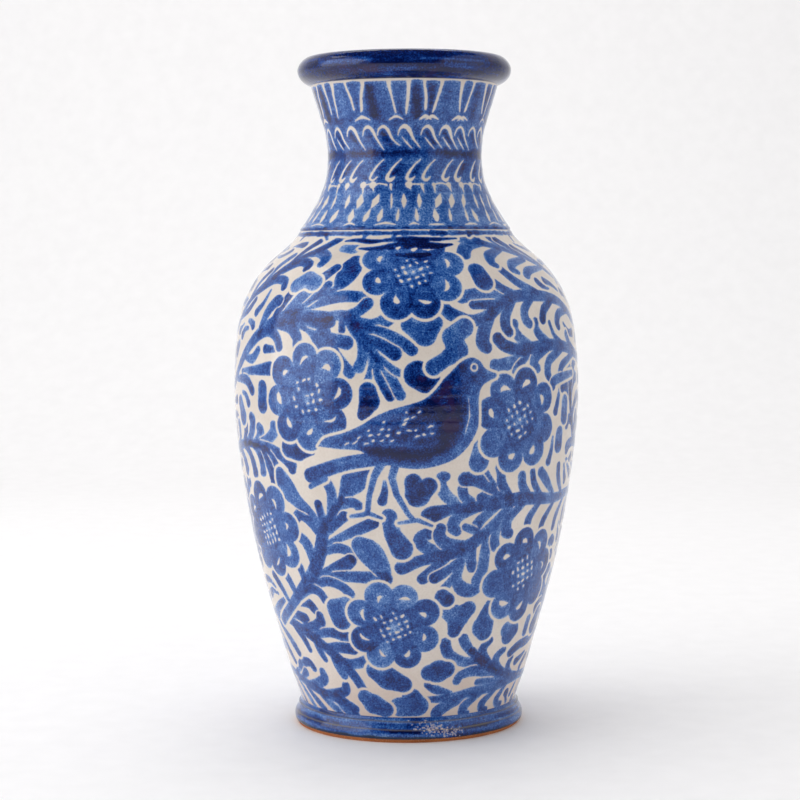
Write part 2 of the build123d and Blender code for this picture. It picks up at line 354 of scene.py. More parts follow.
def frond(canvas, turn, stem, tips):
    """Lays a frond: a curved stem, thick at its root, with a leaf that reaches to each tip."""
    thick, thin, width = 3.2, 1.7, 3.3
    lead = 1.45  # how far back along the stem a leaf's root lies, for each mm from the stem to its tip
    spine = smooth(canvas.spots(stem, turn), 6)
    steps = [math.hypot(*between(canvas, a, b)) for a, b in zip(spine, spine[1:])]
    runs = np.concatenate([[0], np.cumsum(steps)])
    share = runs / runs[-1]
    swell = np.clip((share - 0.82) / 0.18, 0, 1) * (width - 2.2)  # the stem ends round, like a leaf
    leaves = []
    for degrees, height in tips:
        tip = canvas.spot(degrees + turn, height)
        gone = [math.hypot(*between(canvas, spot, tip)) for spot in spine]
        nearest = int(np.argmin(gone))
        back = max(runs[nearest] - lead * gone[nearest], 0)
        root = min(int(np.searchsorted(runs, back)), len(spine) - 2)
        heading, _ = bearing(canvas, spine[root], spine[root + 1])
        leaves.append(leaf(canvas, spine[root], heading, tip, width * dice.uniform(0.85, 1.1)))
    canvas.lay(leaves, slit=SLIT, stems=[(spine, list(thick - (thick - thin) * share + swell), 0.42, 0.55)])


def drawn(canvas, turn, lines):
    """Strokes along lines of (degrees, height, half width)."""
    strokes = []
    for line in lines:
        spots, widths = swept(canvas, turn, line)
        tone = dice.uniform(0.4, 0.5)
        strokes.append((spots, [wide * FULLNESS for wide in widths], tone, tone + dice.uniform(0.08, 0.36)))
    return strokes


def vine(canvas, turn, stem, spacing, length, width):
    """A long stem with leaves to both sides by turns."""
    spine = smooth(canvas.spots(stem, turn), 8)
    leaves = []
    travelled = 0.0
    side = 1
    for a, b in zip(spine, spine[1:]):
        heading, reach = bearing(canvas, a, b)
        travelled += reach
        if travelled > spacing:
            travelled = 0.0
            side = -side
            out = length * dice.uniform(0.8, 1.25)
            across = out * (0.75 * heading[0] - side * 0.75 * heading[1])
            up = out * (0.75 * heading[1] + side * 0.75 * heading[0])
            tip = offset(canvas, a, across, up)
            leaves.append(leaf(canvas, a, heading, tip, width * dice.uniform(0.85, 1.1)))
    canvas.lay(leaves, slit=SLIT, stems=[(spine, [1.8] * len(spine), 0.5, 0.6)])


def blob(canvas, turn, dabs, tone):
    """A loose petal, pressed from a few dabs: degrees, height and half width of each."""
    spots = canvas.spots(dabs, turn)
    widths = [dab[2] for dab in dabs]
    full = max(widths)
    canvas.lay([(spots, widths, tone - 0.1, tone)])
    canvas.wash([spots[len(spots) // 2]] * 2, full * 0.3, 0.35 * tone - 0.08, full)


def petal_eye(canvas, centre, size, angle):
    """The crescent reserved in a petal."""
    tilt = angle + dice.choice((-1, 1)) * dice.uniform(0.9, 1.4)
    eye = polar(canvas, centre, size * 0.68, angle)
    half = size * dice.uniform(0.055, 0.13)
    full = size * dice.uniform(0.022, 0.06)
    bow = size * dice.uniform(0.02, 0.06)
    crescent = []
    for k in (-1, -0.5, 0, 0.5, 1):
        reach, rise = half * k, bow * (1 - k * k)
        across = reach * math.cos(tilt) + rise * math.cos(angle)
        crescent.append(offset(canvas, eye, across, reach * math.sin(tilt) + rise * math.sin(angle)))
    if dice.random() < 0.9:
        canvas.scratch(crescent, [0.15, full * 0.7, full, full * 0.8, 0.25])


def flower_heart(canvas, centre, size, weave):
    """The cross-hatched middle of a flower: flecks left bare between crossing brush lines."""
    pitch = size * dice.uniform(0.135, 0.15)
    for i in range(-3, 4):
        for j in range(-3, 4):
            across, up = i * pitch, j * pitch
            if math.hypot(across, up) < size * 0.4:
                x = across * math.cos(weave) - up * math.sin(weave) + dice.uniform(-0.25, 0.25)
                y = across * math.sin(weave) + up * math.cos(weave) + dice.uniform(-0.25, 0.25)
                spot = offset(canvas, centre, x, y)
                slant = weave + dice.choice((0.0, math.pi / 2)) + dice.uniform(-0.4, 0.4)
                other = polar(canvas, spot, dice.uniform(0.2, 1.5), slant)
                if dice.random() < 0.9:
                    canvas.scratch([spot, other], [dice.uniform(0.3, 0.8), dice.uniform(0.25, 0.6)])
    for i in range(-3, 4):
        for quarter in (0, math.pi / 2):
            dx, dy = math.cos(weave + quarter), math.sin(weave + quarter)
            side = (i + 0.5) * pitch
            half = size * 0.36
            ends = [offset(canvas, centre, -side * dy + k * dx, side * dx + k * dy) for k in (-half, half)]
            canvas.wash(ends, 0.1, 0.16, 1.6)
    canvas.wash([centre, offset(canvas, centre, 0.1, 0)], size * 0.2, -0.14, size * 0.3)


def flower(canvas, turn, degrees, height, size, lean):
    """Eight round petals with reserved eyes about a cross-hatched heart."""
    centre = canvas.spot(degrees + turn, height)
    angles = [lean + math.pi / 4 * i for i in range(8)]
    strokes = []
    for petal in angles:
        angle = petal + dice.uniform(-0.06, 0.06)
        reach = size * dice.uniform(0.7, 0.76)
        swell = size * dice.uniform(0.295, 0.335)
        ends = [polar(canvas, centre, size * 0.3, angle), polar(canvas, centre, reach, angle)]
        tone = dice.uniform(0.36, 0.52)
        strokes.append((ends, [size * 0.21, swell], tone, tone + dice.uniform(0.02, 0.3)))
    strokes.append(([centre, offset(canvas, centre, 0.3, 0)], [size * 0.42] * 2, 0.4, 0.4))
    canvas.lay(strokes)
    for angle in angles:
        petal_eye(canvas, centre, size, angle)
    flower_heart(canvas, centre, size, lean * 0.5 + 0.2)


# The bird's outline, tail, legs and feet in degrees and height; the legs and feet also have half widths
BIRD_OUTLINE = [
    (-29.2, 153.2), (-26.5, 157.5), (-20, 160.5), (-14.5, 164.2), (-10, 168.5), (-5, 172), (0, 174.2),
    (5, 176.8), (8.5, 180.8), (11.5, 186.5), (14.5, 191), (17.2, 194.8), (20.8, 197), (23.8, 195),
    (25.2, 191.8), (27.2, 189.9), (29.4, 188.6), (29.2, 186.8), (27, 185.4), (24.6, 183.2), (23.4, 180),
    (23, 174.5), (23.1, 166.5), (22.8, 162.5), (21.8, 158.5), (19.8, 153.5), (17.3, 149.5), (14, 146.2),
    (8.7, 143.6), (3.3, 142.6), (-2, 143.4), (-8, 145.6), (-12.5, 149.5), (-15.5, 151.8), (-22, 152.2),
]
BIRD_TAIL = [(-4, 148), (-12, 147.2), (-20, 145), (-27, 141.6), (-33, 138.4)]
BIRD_LEGS = [
    ([(-7.5, 147), (-10.5, 139), (-12.4, 129), (-13.2, 120.5)], [2.4, 1.9, 1.5, 1.5]),
    ([(-19, 118.6), (-15, 119.6), (-13, 120.6), (-8.5, 118)], [1.1, 1.3, 1.4, 0.8]),
    ([(-3.4, 146), (-4.8, 138.5), (-3.4, 130), (0.4, 120), (2, 117.5)], [2.2, 2.0, 1.7, 1.4, 1.3]),
    ([(-2.8, 115.6), (1.5, 116.6), (3.5, 117), (8.3, 114)], [0.9, 1.2, 1.3, 0.8]),
    ([(-27.5, 137.4), (-33.4, 132.6)], [1.9, 1.4]),
]

# Where cobalt pooled on the bird, and where its plumage is paler:
# places, half width, change of load and softness
BIRD_SHADES = [
    ([(-14, 151), (-5, 150), (5, 149), (12, 152)], 2.0, 0.36, 5),
    ([(8, 178), (13, 186), (17, 192)], 2.3, 0.3, 5),
    ([(2, 172), (9, 173), (14, 166), (12, 157)], 3.4, 0.3, 5),
    ([(13, 180), (17, 172), (16, 161)], 2.2, 0.22, 5),
    ([(-6, 160), (2, 163)], 2.0, 0.14, 5),
    ([(-32, 140), (-26, 143)], 1.5, 0.15, 5),
    ([(20, 173), (15, 171)], 2.0, 0.2, 5),
]
BIRD_LIGHTS = [
    ([(-26, 155.6), (-15, 163), (-4, 170), (4, 174)], 0.5, -0.24, 2.0),
    ([(-20, 152.8), (-13, 154.3), (-4, 154.8), (6, 153.5)], 0.5, -0.26, 2.0),
    ([(20.5, 182), (21.2, 172), (20.4, 162), (16.5, 153), (9, 147.6)], 1.6, -0.22, 3.5),
    ([(-30, 140.5), (-20, 146), (-10, 149)], 0.9, -0.16, 2.5),
]


def wing_flecks(canvas, turn):
    """Rows of short bare flecks along the bird's wing."""
    tail_end, root_height, row_gap = -23, 154, 2.9
    for row in range(5):
        for i in range(11):
            degrees = tail_end + i * 3.1 + row * 1.1 + dice.uniform(-0.9, 0.9)
            height = root_height + (degrees - tail_end) * 0.24 + row * row_gap - 1.0 + dice.uniform(-0.8, 0.8)
            on_wing = row * row_gap < (degrees + 26) * 0.5 and degrees < 9.5 - row
            if on_wing and dice.random() < 0.84:
                start = canvas.spot(degrees + turn, height)
                reach = dice.uniform(0.7, 2.3)
                climb = dice.uniform(-0.1, 0.7) * reach
                waist = offset(canvas, start, reach * 0.5, climb * 0.5 + dice.uniform(-0.35, 0.35))
                end = offset(canvas, start, reach, climb)
                canvas.scratch([start, waist, end], [0.2, dice.uniform(0.3, 0.62), 0.22])


def bird(canvas, turn):
    """A long-tailed bird in side view, looking to the right."""
    canvas.fill([(degrees + turn, height) for degrees, height in BIRD_OUTLINE], 0.78, 0.62)
    tail = smooth(canvas.spots(BIRD_TAIL, turn), 4)
    canvas.lay([(tail, list(np.linspace(3.4, 3.9, len(tail))), 0.52, 0.72)], gap=-REACH)
    canvas.scratch(canvas.spots([(-30, 151.8), (-22, 151), (-16, 151.2)], turn), [1.4, 0.7, 0.1])
    legs = [(smooth(canvas.spots(places, turn), 1), widths, 0.42, 0.55) for places, widths in BIRD_LEGS]
    canvas.lay(legs, gap=-1.2)
    for places, width, amount, soft in BIRD_SHADES:
        canvas.wash(canvas.spots(places, turn), width, amount, soft)
    wing_flecks(canvas, turn)
    for places, width, amount, soft in BIRD_LIGHTS:
        canvas.wash(canvas.spots(places, turn), width, amount, soft)
    canvas.scratch(canvas.spots([(19.6, 177), (19.9, 168), (18.6, 160)], turn), [0.1, 0.22, 0.1])
    eye = canvas.spot(21.6 + turn, 192)
    ring = [polar(canvas, eye, 1.75, 2 * math.pi * i / 12) for i in range(13)]
    canvas.scratch(ring, [0.38] * len(ring))


# Each flower: degrees, height, radius and the angle of its first petal
FLOWERS = [
    (2.8, 239, 26, 0.3),
    (-33, 178, 25.5, 0.1),
    (38.5, 165, 26, 0.55),
    (-58.5, 107.5, 25, 0.2),
    (-5.8, 62, 23.5, 0.4),
    (48.5, 85, 25.5, 0.15),
]

# Each loose petal: how dark it is, then degrees, height and half width of its dabs
BLOBS = [
    (0.75, [(28, 239, 5.0), (29, 234, 5.6)]),
    (0.62, [(1, 213, 4.2), (6, 208.5, 6.0), (9.5, 214, 3.8)]),
    (0.62, [(19, 211.5, 4.8), (14.5, 207, 5.0), (16.5, 200.5, 5.4), (12, 196, 3.8), (8.5, 192.5, 4.2)]),
    (0.88, [(3.5, 189, 7.0), (6, 187, 7.2)]),
    (0.85, [(-12, 181, 4.6), (-11.5, 176, 5.4), (-13.5, 169.5, 3.2)]),
    (0.42, [(-28.5, 250.5, 3.0), (-23.5, 250, 3.6)]),
    (0.45, [(-42.5, 232.5, 4.4), (-38.5, 235.5, 4.8), (-34.5, 233.5, 4.6)]),
    (0.6, [(-53, 181, 4.0), (-53, 172, 4.4)]),
    (0.85, [(-41, 151.5, 5.2), (-37, 150.5, 5.4), (-31.5, 150, 1.6)]),
    (0.72, [(-6, 119, 4.0), (-5, 110, 4.4), (-2, 102.5, 5.8)]),
    (0.85, [(2, 136, 4.6), (3.5, 130, 6.6), (7, 134, 4.6)]),
    (0.5, [(24, 152.5, 4.2), (23.6, 145.5, 5.6)]),
    (0.6, [(-24.5, 73, 4.0), (-29, 70, 5.6), (-27.5, 64.5, 5.8)]),
    (0.7, [(-14.5, 38, 5.2), (-9, 34, 6.6), (-2.5, 31, 4.8)]),
    (0.65, [(-21, 23, 4.4), (-17, 19.5, 6.2), (-12, 17, 4.8)]),
    (0.6, [(-4, 18.5, 5.8), (4, 19, 6.2), (1.5, 24, 5.0)]),
    (0.7, [(13, 77.5, 4.0), (15, 75.5, 4.0)]),
    (0.6, [(15.5, 70, 4.6), (20, 66, 6.2), (19, 58.5, 3.6), (20, 66, 6.2), (24, 70, 4.4)]),
    (0.65, [(34.5, 72, 3.8), (33, 66, 5.0), (32, 60, 6.6), (33, 57, 5.2)]),
    (0.6, [(46, 56, 4.8), (50, 55, 4.8), (47.5, 52.5, 5.0)]),
    (0.8, [(9.5, 37, 4.6), (13.5, 37.5, 6.4), (17, 38, 4.8)]),
    (0.6, [(60, 156, 4.0), (60, 150, 4.4)]),
    (0.6, [(63, 172, 3.8), (63, 164, 4.2)]),
    (0.6, [(-70, 172, 4.0), (-68, 165, 5.0)]),
    (0.6, [(71, 60, 4.6), (69, 54, 5.0)]),
]

# Each frond: its stem from the root, then the places its leaves reach to, in degrees and height
FRONDS = [
    (
        [(-84, 146), (-72, 150), (-62, 151.5), (-52, 150)],
        [(-66, 161), (-60, 164), (-55, 159), (-47, 160), (-74, 160), (-40.5, 143), (-48.5, 141), (-50, 133),
         (-56, 138), (-62, 137), (-70, 138)],
    ),
    (
        [(86, 146), (78, 150), (72, 158), (69, 168), (68, 180)],
        [(66, 162), (62, 180), (67, 188), (74, 184), (77, 174), (77, 164), (68, 148), (80, 160), (74, 192)],
    ),
    (
        [(86, 66), (78, 68), (70, 74), (64, 84), (62, 96)],
        [(66, 100), (58, 104), (68, 92), (70, 84), (76, 80), (62, 70), (74, 60), (80, 56), (66, 64)],
    ),
    (
        [(-86, 92), (-80, 98), (-76, 110), (-74, 124)],
        [(-71, 131), (-78, 130), (-82, 120), (-83, 110), (-72, 100), (-70, 94), (-76, 88)],
    ),
]

# Fronds drawn stroke by stroke, the stems and then the petals: degrees, height and half width along each
FANS = [
    # high on the left shoulder
    ([
        [(-86, 203, 2.0), (-77, 216, 2.2), (-68, 228, 2.4), (-58, 238, 2.6), (-49, 246, 2.5), (-40, 251, 2.4),
         (-33, 256, 2.0)],
    ], [
        [(-52, 243.5, 1.8), (-42, 248.5, 3.0), (-35, 246, 2.9), (-35.5, 242.8, 2.3)],
        [(-60, 236, 1.8), (-48, 243.5, 2.7), (-41.8, 242.6, 2.6), (-42, 240.4, 2.0)],
        [(-68, 227, 1.6), (-57, 234.5, 2.4), (-50.5, 234.5, 2.4), (-49, 231.5, 2.2)],
        [(-46, 248.5, 1.6), (-38, 253, 2.2), (-31, 257, 2.0)],
        [(-54, 243, 1.6), (-51, 250, 2.0), (-46.5, 254, 2.2)],
        [(-64, 233.5, 1.6), (-62, 241, 2.0), (-57, 247, 2.2)],
        [(-72, 224, 1.4), (-70, 233, 2.0), (-66, 239.5, 2.0)],
        [(-77, 215, 1.4), (-69, 219.5, 2.0), (-65.5, 224.5, 2.0)],
    ]),
    # high on the right shoulder
    ([
        [(76, 236, 1.8), (66, 243, 2.2), (54, 248.5, 2.4), (44, 251.5, 2.4), (34, 254, 2.6), (27, 255, 2.4)],
    ], [
        [(38, 252.5, 2.0), (29, 251, 3.2), (25.3, 247, 3.4)],
        [(47, 249.5, 1.8), (38.5, 246.8, 2.9), (36.5, 243.3, 2.5), (38, 241.6, 1.9)],
        [(58, 244.5, 1.8), (48.5, 242.8, 2.5), (45.5, 239.8, 2.3), (47.6, 238.2, 1.8)],
        [(68, 240, 1.4), (56, 239, 2.3), (51.8, 236.3, 2.3)],
        [(40, 253, 1.4), (37.5, 256, 1.6), (36, 258, 1.6)],
        [(52, 249, 1.4), (47.5, 254, 1.8), (45, 257.5, 1.8)],
        [(62, 246, 1.4), (55, 251.5, 2.2), (51, 254.5, 2.2)],
        [(72, 240, 1.4), (65, 247, 1.8), (60, 251, 1.8)],
    ]),
    # right, above the next, bending down towards the bird's head
    ([
        [(80, 212, 2.4), (68, 222, 2.7), (58, 225.5, 2.9), (48, 226.5, 3.1), (40, 226, 2.9), (34, 223, 2.7),
         (28.5, 217, 2.6)],
    ], [
        [(37, 225.5, 1.8), (28, 228, 2.9), (20.5, 226.6, 3.1), (19, 226, 2.9)],
        [(35, 222.8, 1.8), (29, 222.5, 2.3), (22.8, 222.3, 2.1)],
        [(42, 227, 1.8), (36.5, 229.8, 2.4), (33.4, 233, 2.4)],
        [(53, 228, 1.8), (45, 232.5, 2.7), (41, 237, 2.5), (38.8, 240.3, 2.3)],
        [(29, 218, 2.6), (25.8, 210, 3.3), (25, 204, 3.5), (26.2, 201.6, 3.0)],
        [(30, 219, 2.2), (22, 214.6, 2.9), (15, 218, 3.2), (13, 220.6, 3.0)],
        [(39.5, 225, 1.8), (35, 218, 2.7), (34, 212, 2.9), (35.2, 208.8, 2.5)],
        [(49, 225.5, 1.6), (43.5, 220, 2.4), (43, 215, 2.7), (44.4, 212.6, 2.5)],
        [(61, 224, 1.6), (54, 219.5, 2.4), (51.8, 214.4, 2.6)],
        [(73, 218, 1.4), (64, 217, 2.2), (61, 213, 2.6), (61.3, 210.6, 2.3)],
    ]),
    # right, just over the right-hand flower
    ([
        [(84, 192, 2.2), (74, 196.5, 2.6), (64, 200, 2.7), (54, 201.5, 2.9), (45, 200.5, 2.9), (38, 200, 2.9),
         (33, 202.3, 3.1), (30.6, 205.6, 3.0)],
    ], [
        [(43, 198.5, 2.0), (37, 194.5, 2.9), (31, 192.5, 3.1), (29, 192.8, 2.9)],
        [(43, 197.5, 1.6), (38, 191.5, 2.2), (36.2, 186, 2.2)],
        [(45, 201.5, 1.6), (39.5, 205.5, 2.6), (37.4, 210, 2.4), (38, 212.8, 2.2)],
        [(55, 202, 1.6), (49, 206.5, 2.6), (47.3, 211, 2.4), (47.8, 213.3, 2.2)],
        [(63, 201.5, 1.4), (57.5, 206, 1.5), (55.5, 212.5, 1.4)],
        [(74, 198, 1.4), (69, 202, 2.0), (67, 206, 2.2)],
        [(53, 200, 1.8), (46.2, 196, 2.7), (45, 191.8, 2.9), (46.6, 190.2, 2.4)],
        [(62, 199, 1.8), (53.4, 194, 2.6), (51.9, 188, 2.7), (52.5, 185.7, 2.4)],
        [(73, 196, 1.4), (62.5, 191.5, 2.2), (59.7, 187.6, 2.2)],
        [(70, 186, 1.6), (60, 184.6, 2.3), (55, 182.8, 2.5), (54.6, 180.6, 2.3)],
    ]),
    # left, round the upper flower, two branches bending down to the bird
    ([
        [(-27, 217, 2.2), (-20, 217.5, 2.6), (-16, 210.5, 3.0), (-12, 203.5, 2.6), (-9, 196.5, 2.0)],
        [(-34, 217, 2.2), (-27.5, 212, 2.6), (-25, 204, 2.6), (-21.5, 197, 2.4), (-17.8, 190, 2.8)],
        [(-80, 180, 2.2), (-72, 190, 2.4), (-65, 199, 2.8), (-58, 206.5, 3.1), (-50, 213, 3.4),
         (-42, 217, 3.3),
         (-34, 217.5, 2.8), (-26, 217, 2.6)],
    ], [
        [(-40, 219.5, 1.8), (-30, 224.5, 2.8), (-22, 227, 3.0), (-14.8, 226.7, 2.8)],
        [(-40, 219, 1.6), (-33, 226.5, 2.3), (-28.5, 232.5, 2.4)],
        [(-33, 225.5, 1.4), (-25, 231, 1.7), (-23, 235, 4.4), (-21.5, 240, 5.6), (-20.5, 244.5, 3.4)],
        [(-44, 218.5, 2.0), (-38, 227, 3.1), (-33, 234.5, 2.9), (-27.5, 241, 2.4)],
        [(-50, 214.5, 1.6), (-47, 221, 2.3), (-44, 227.8, 2.4)],
        [(-57, 208, 1.6), (-54, 218, 2.8), (-50.5, 224, 3.2), (-48.8, 224.5, 2.9)],
        [(-61, 203.5, 1.8), (-52, 209.5, 2.8), (-47, 207, 2.6), (-45, 201.8, 2.4)],
        [(-49, 213, 2.2), (-41, 212, 3.0), (-37.5, 207, 2.9), (-37.2, 203.5, 2.8)],
        [(-43, 216, 2.4), (-33, 212.5, 3.2), (-29, 206, 3.2), (-27.5, 200, 2.7)],
        [(-39, 217.5, 2.0), (-30, 214, 2.8), (-25, 214.5, 2.7)],
        [(-66, 196, 1.6), (-60, 195, 2.4), (-56.5, 199.5, 2.2)],
        [(-68, 188, 1.6), (-57, 189.5, 2.4), (-49.3, 190.8, 3.4)],
        [(-74, 184, 1.6), (-64, 184, 2.6), (-59.5, 179, 2.6)],
        [(-20, 218, 2.0), (-16, 219.5, 2.6), (-12.8, 223.5, 3.0)],
        [(-19, 216.5, 2.0), (-12, 213.2, 2.8), (-8, 214, 3.2), (-5.5, 216.8, 3.5)],
        [(-17, 213.5, 1.6), (-9, 210, 2.6), (-3, 206.5, 2.6), (1.8, 201, 2.8)],
        [(-15, 208.5, 1.6), (-9, 204.5, 2.6), (-3.5, 199.2, 3.2)],
        [(-17, 212, 2.0), (-14.2, 206, 2.5), (-13.6, 198, 2.6), (-14.8, 192.6, 2.8)],
        [(-11.5, 201, 1.2), (-10.8, 193, 1.6), (-12.4, 184.8, 1.8)],
        [(-9.5, 197, 1.2), (-8.4, 188, 2.3), (-5, 178.5, 2.4)],
        [(-9, 196.5, 1.2), (-5, 188.5, 2.2), (-1.8, 179, 2.5)],
        [(-9, 199, 1.0), (-4, 191.5, 1.8), (0.5, 188.5, 1.6)],
        [(-21, 217, 1.6), (-20.8, 210.5, 1.8)],
        [(-29, 210, 1.6), (-24, 206.5, 2.6), (-19, 204.5, 3.3)],
        [(-25, 204.5, 1.6), (-24.6, 198, 2.2), (-26, 191.5, 2.4)],
    ]),
    # left, rising past the lower flower to the bird's tail
    ([
        [(-66, 58, 2.6), (-56, 66, 2.6), (-49, 73, 2.8), (-43, 80, 3.0), (-37, 88, 3.5), (-33, 97, 3.5),
         (-31, 106, 3.3), (-28.5, 114, 2.7), (-25, 121, 2.1), (-22, 127.5, 1.8)],
    ], [
        [(-22, 127, 1.8), (-19.5, 132.5, 4.0), (-16.8, 137.5, 6.0), (-13.5, 142, 3.6)],
        [(-27.5, 114, 1.6), (-26, 122, 2.4), (-25.5, 130, 2.6), (-27, 135.5, 2.6)],
        [(-26, 118, 1.6), (-22, 124, 2.3), (-18, 125.5, 2.4), (-15.2, 122.8, 2.4)],
        [(-27.5, 110, 1.4), (-25, 114, 2.2), (-21.5, 118.5, 2.6)],
        [(-29, 104, 1.4), (-22, 108.5, 2.2), (-16, 112.5, 2.8), (-11.5, 115.5, 2.8)],
        [(-31, 99, 1.6), (-25, 102, 2.4), (-20.8, 100.4, 2.4), (-19.5, 97, 2.2)],
        [(-36, 86, 1.4), (-29, 90, 2.6), (-23, 93.5, 3.4), (-20.5, 96, 3.0)],
        [(-38, 83.5, 1.6), (-27, 87, 2.4), (-16, 87.5, 3.0), (-8, 87, 3.4)],
        [(-8, 88, 2.8), (-9.5, 93, 4.4), (-13, 100, 6.0), (-16.5, 104, 4.2)],
        [(-42, 78, 1.6), (-32, 84, 2.4), (-25, 82, 2.4), (-22.3, 78.6, 2.8)],
        [(-48, 72.5, 1.6), (-40, 79, 2.4), (-35.5, 78, 2.4), (-33.2, 74, 2.4)],
        [(-31, 106, 1.6), (-34.5, 114, 2.6), (-39, 118, 2.8), (-42.5, 114, 2.6)],
        [(-29, 110, 1.4), (-30, 117, 2.2), (-31, 124, 2.2)],
        [(-30, 109, 1.4), (-34, 119, 1.8), (-40, 125, 3.6), (-44.5, 132, 5.4), (-46.5, 138, 3.2)],
        [(-36, 90, 1.8), (-36.5, 98, 2.8), (-38.5, 104, 2.8), (-41.5, 106.5, 2.6)],
        [(-42, 82, 1.6), (-43, 90, 2.4), (-47, 96.5, 2.6)],
        [(-48, 74, 1.6), (-51, 82, 2.4), (-55, 88, 2.4)],
        [(-54, 68, 1.4), (-58, 77, 2.2), (-62.5, 83, 2.2)],
    ]),
    # right, below the bird, branching down to the low flowers
    ([
        [(84, 124, 2.4), (72, 123.5, 2.4), (62, 122.5, 2.6), (50, 124, 3.0), (40, 125, 3.3), (30, 123.5, 3.0),
         (22, 122.5, 2.6), (15, 122, 2.6), (9, 120, 3.9), (7, 119.5, 3.4)],
        [(37, 122, 2.2), (30, 112, 2.7), (24, 105, 3.1), (18, 101, 3.3), (12, 98.5, 3.0), (5, 96.5, 2.8),
         (-2, 92.8, 3.4)],
        [(20, 100, 2.4), (18.5, 92, 2.6), (18, 86, 2.6), (20.5, 81, 3.4), (24.5, 79.5, 3.2), (27, 80.5, 2.2)],
    ], [
        [(19, 123.5, 1.6), (13.5, 128, 2.8), (11, 134, 2.8), (11.2, 138.3, 2.6), (12.6, 138.6, 2.2)],
        [(25, 123.5, 1.6), (19.5, 127.5, 2.4), (18.3, 132, 2.6)],
        [(32, 125, 1.6), (27.5, 128, 2.4), (25, 127.2, 2.3)],
        [(36, 126, 1.8), (29, 132, 3.0), (23, 136.5, 3.4), (19, 137, 3.4)],
        [(37, 126, 2.0), (33, 133, 2.6), (32, 139, 2.4), (31.2, 142, 2.2)],
        [(30, 133, 1.2), (27.5, 138, 1.2), (25.5, 142, 1.6)],
        [(46, 125.5, 1.8), (42, 131, 2.6), (41, 136.5, 2.6)],
        [(52, 125, 1.8), (47.5, 132, 2.0), (46, 138, 2.0)],
        [(60, 125, 1.6), (54, 133, 2.6), (50.5, 137.5, 2.6)],
        [(68, 123.5, 1.4), (63, 133, 2.2), (62, 139, 2.2)],
        [(24, 121.5, 1.8), (17.5, 118.5, 2.8), (15.5, 113.5, 3.0), (17, 110.8, 2.4)],
        [(32, 122, 1.8), (26.5, 117, 2.6), (24.3, 113.5, 2.8)],
        [(43, 122, 1.8), (37, 115.5, 2.8), (36.3, 109.5, 3.2), (38, 107.5, 2.6)],
        [(52, 122, 1.6), (47.5, 115.5, 2.4), (46.5, 112, 2.6)],
        [(62, 121, 1.4), (56, 112, 2.2), (55, 107, 2.2)],
        [(72, 122, 1.4), (66, 113, 2.2), (65, 107, 2.2)],
        [(80, 122, 1.4), (75, 115, 2.2), (74, 108, 2.2)],
        [(14, 99.5, 2.0), (7, 102.5, 3.0), (4.2, 107, 3.0), (6, 110, 2.6), (7.2, 109.5, 2.4)],
        [(22, 103.5, 2.0), (14, 104.5, 3.0), (11, 108.5, 3.0), (11.3, 112.5, 2.6)],
        [(27, 108, 1.6), (22, 111.5, 2.0), (20, 112.8, 1.8)],
        [(16, 99.5, 1.8), (11, 94, 2.4), (5.5, 87, 2.8)],
        [(18.5, 96, 1.6), (14, 90.5, 2.4), (9.8, 87.2, 2.8)],
        [(18, 90, 1.4), (15, 84, 2.0), (13, 80.5, 2.2)],
        [(23.5, 103, 1.8), (23, 96, 2.6), (23.8, 92, 2.8)],
        [(28.5, 109, 1.8), (28.3, 99, 2.8), (28, 90, 3.0), (26.2, 85, 3.0)],
        [(33, 115, 1.8), (31.8, 106, 2.6), (32.5, 101.5, 2.6)],
    ]),
    # low on the left
    ([
        [(-80, 61, 1.8), (-70, 60.5, 2.4), (-60, 60, 2.6), (-50, 56, 2.8), (-40, 50, 2.8), (-31, 42, 2.8),
         (-25, 34, 2.6), (-21, 26, 2.2)],
    ], [
        [(-72, 63, 1.4), (-62, 67.5, 2.6), (-52, 71, 2.8), (-43, 71.5, 2.8), (-39.5, 68, 2.4)],
        [(-64, 61, 1.6), (-54, 63.8, 2.4), (-46.5, 62.3, 3.2)],
        [(-52, 57, 1.6), (-43, 58.5, 2.6), (-38, 61.5, 3.0), (-37.5, 65.5, 2.2)],
        [(-45, 53, 1.6), (-34, 56.8, 2.6), (-25.5, 54.8, 3.0)],
        [(-38, 48.5, 1.6), (-31, 49.2, 2.8), (-24, 49, 3.0)],
        [(-32, 43, 1.6), (-25, 40.8, 2.6), (-18.5, 43.2, 2.8)],
        [(-58, 59, 1.4), (-51.5, 52, 2.2), (-48.5, 45.5, 1.8)],
        [(-44, 52, 1.4), (-41.8, 46, 2.2), (-39.5, 41.5, 1.6)],
        [(-36, 46, 1.4), (-32.5, 38, 2.4), (-30.5, 34, 2.2)],
        [(-74, 58, 1.2), (-64, 49, 2.6), (-58.5, 42, 2.2)],
        [(-79, 54, 1.2), (-70, 42, 2.2), (-65.5, 36, 1.8)],
    ]),
    # left, above the foot
    ([
        [(-78, 31, 1.8), (-68, 28.5, 2.4), (-58, 25.5, 2.6), (-47, 22.5, 2.8), (-36, 20, 2.8),
         (-28, 16, 2.4)],
    ], [
        [(-67, 30, 1.6), (-58, 36.5, 2.6), (-51.5, 38, 2.4), (-48.8, 35.2, 2.0)],
        [(-62, 28, 1.4), (-56.5, 31.8, 2.4)],
        [(-57, 25.5, 1.6), (-48, 27.6, 2.6), (-43, 30.6, 2.8), (-43.2, 34.4, 2.2)],
        [(-47, 22.5, 1.6), (-37, 23.5, 2.6), (-31.5, 25.5, 2.6), (-30.5, 28.6, 2.2)],
        [(-68, 25.5, 1.4), (-62, 17.5, 2.0), (-58, 12.5, 1.6)],
        [(-60, 23, 1.4), (-54, 17, 2.2), (-49, 12.8, 1.8)],
        [(-49, 21, 1.4), (-43, 16.5, 2.2), (-37, 12.5, 2.0)],
        [(-38, 18.5, 1.4), (-33, 14.5, 2.2), (-28, 12, 2.2)],
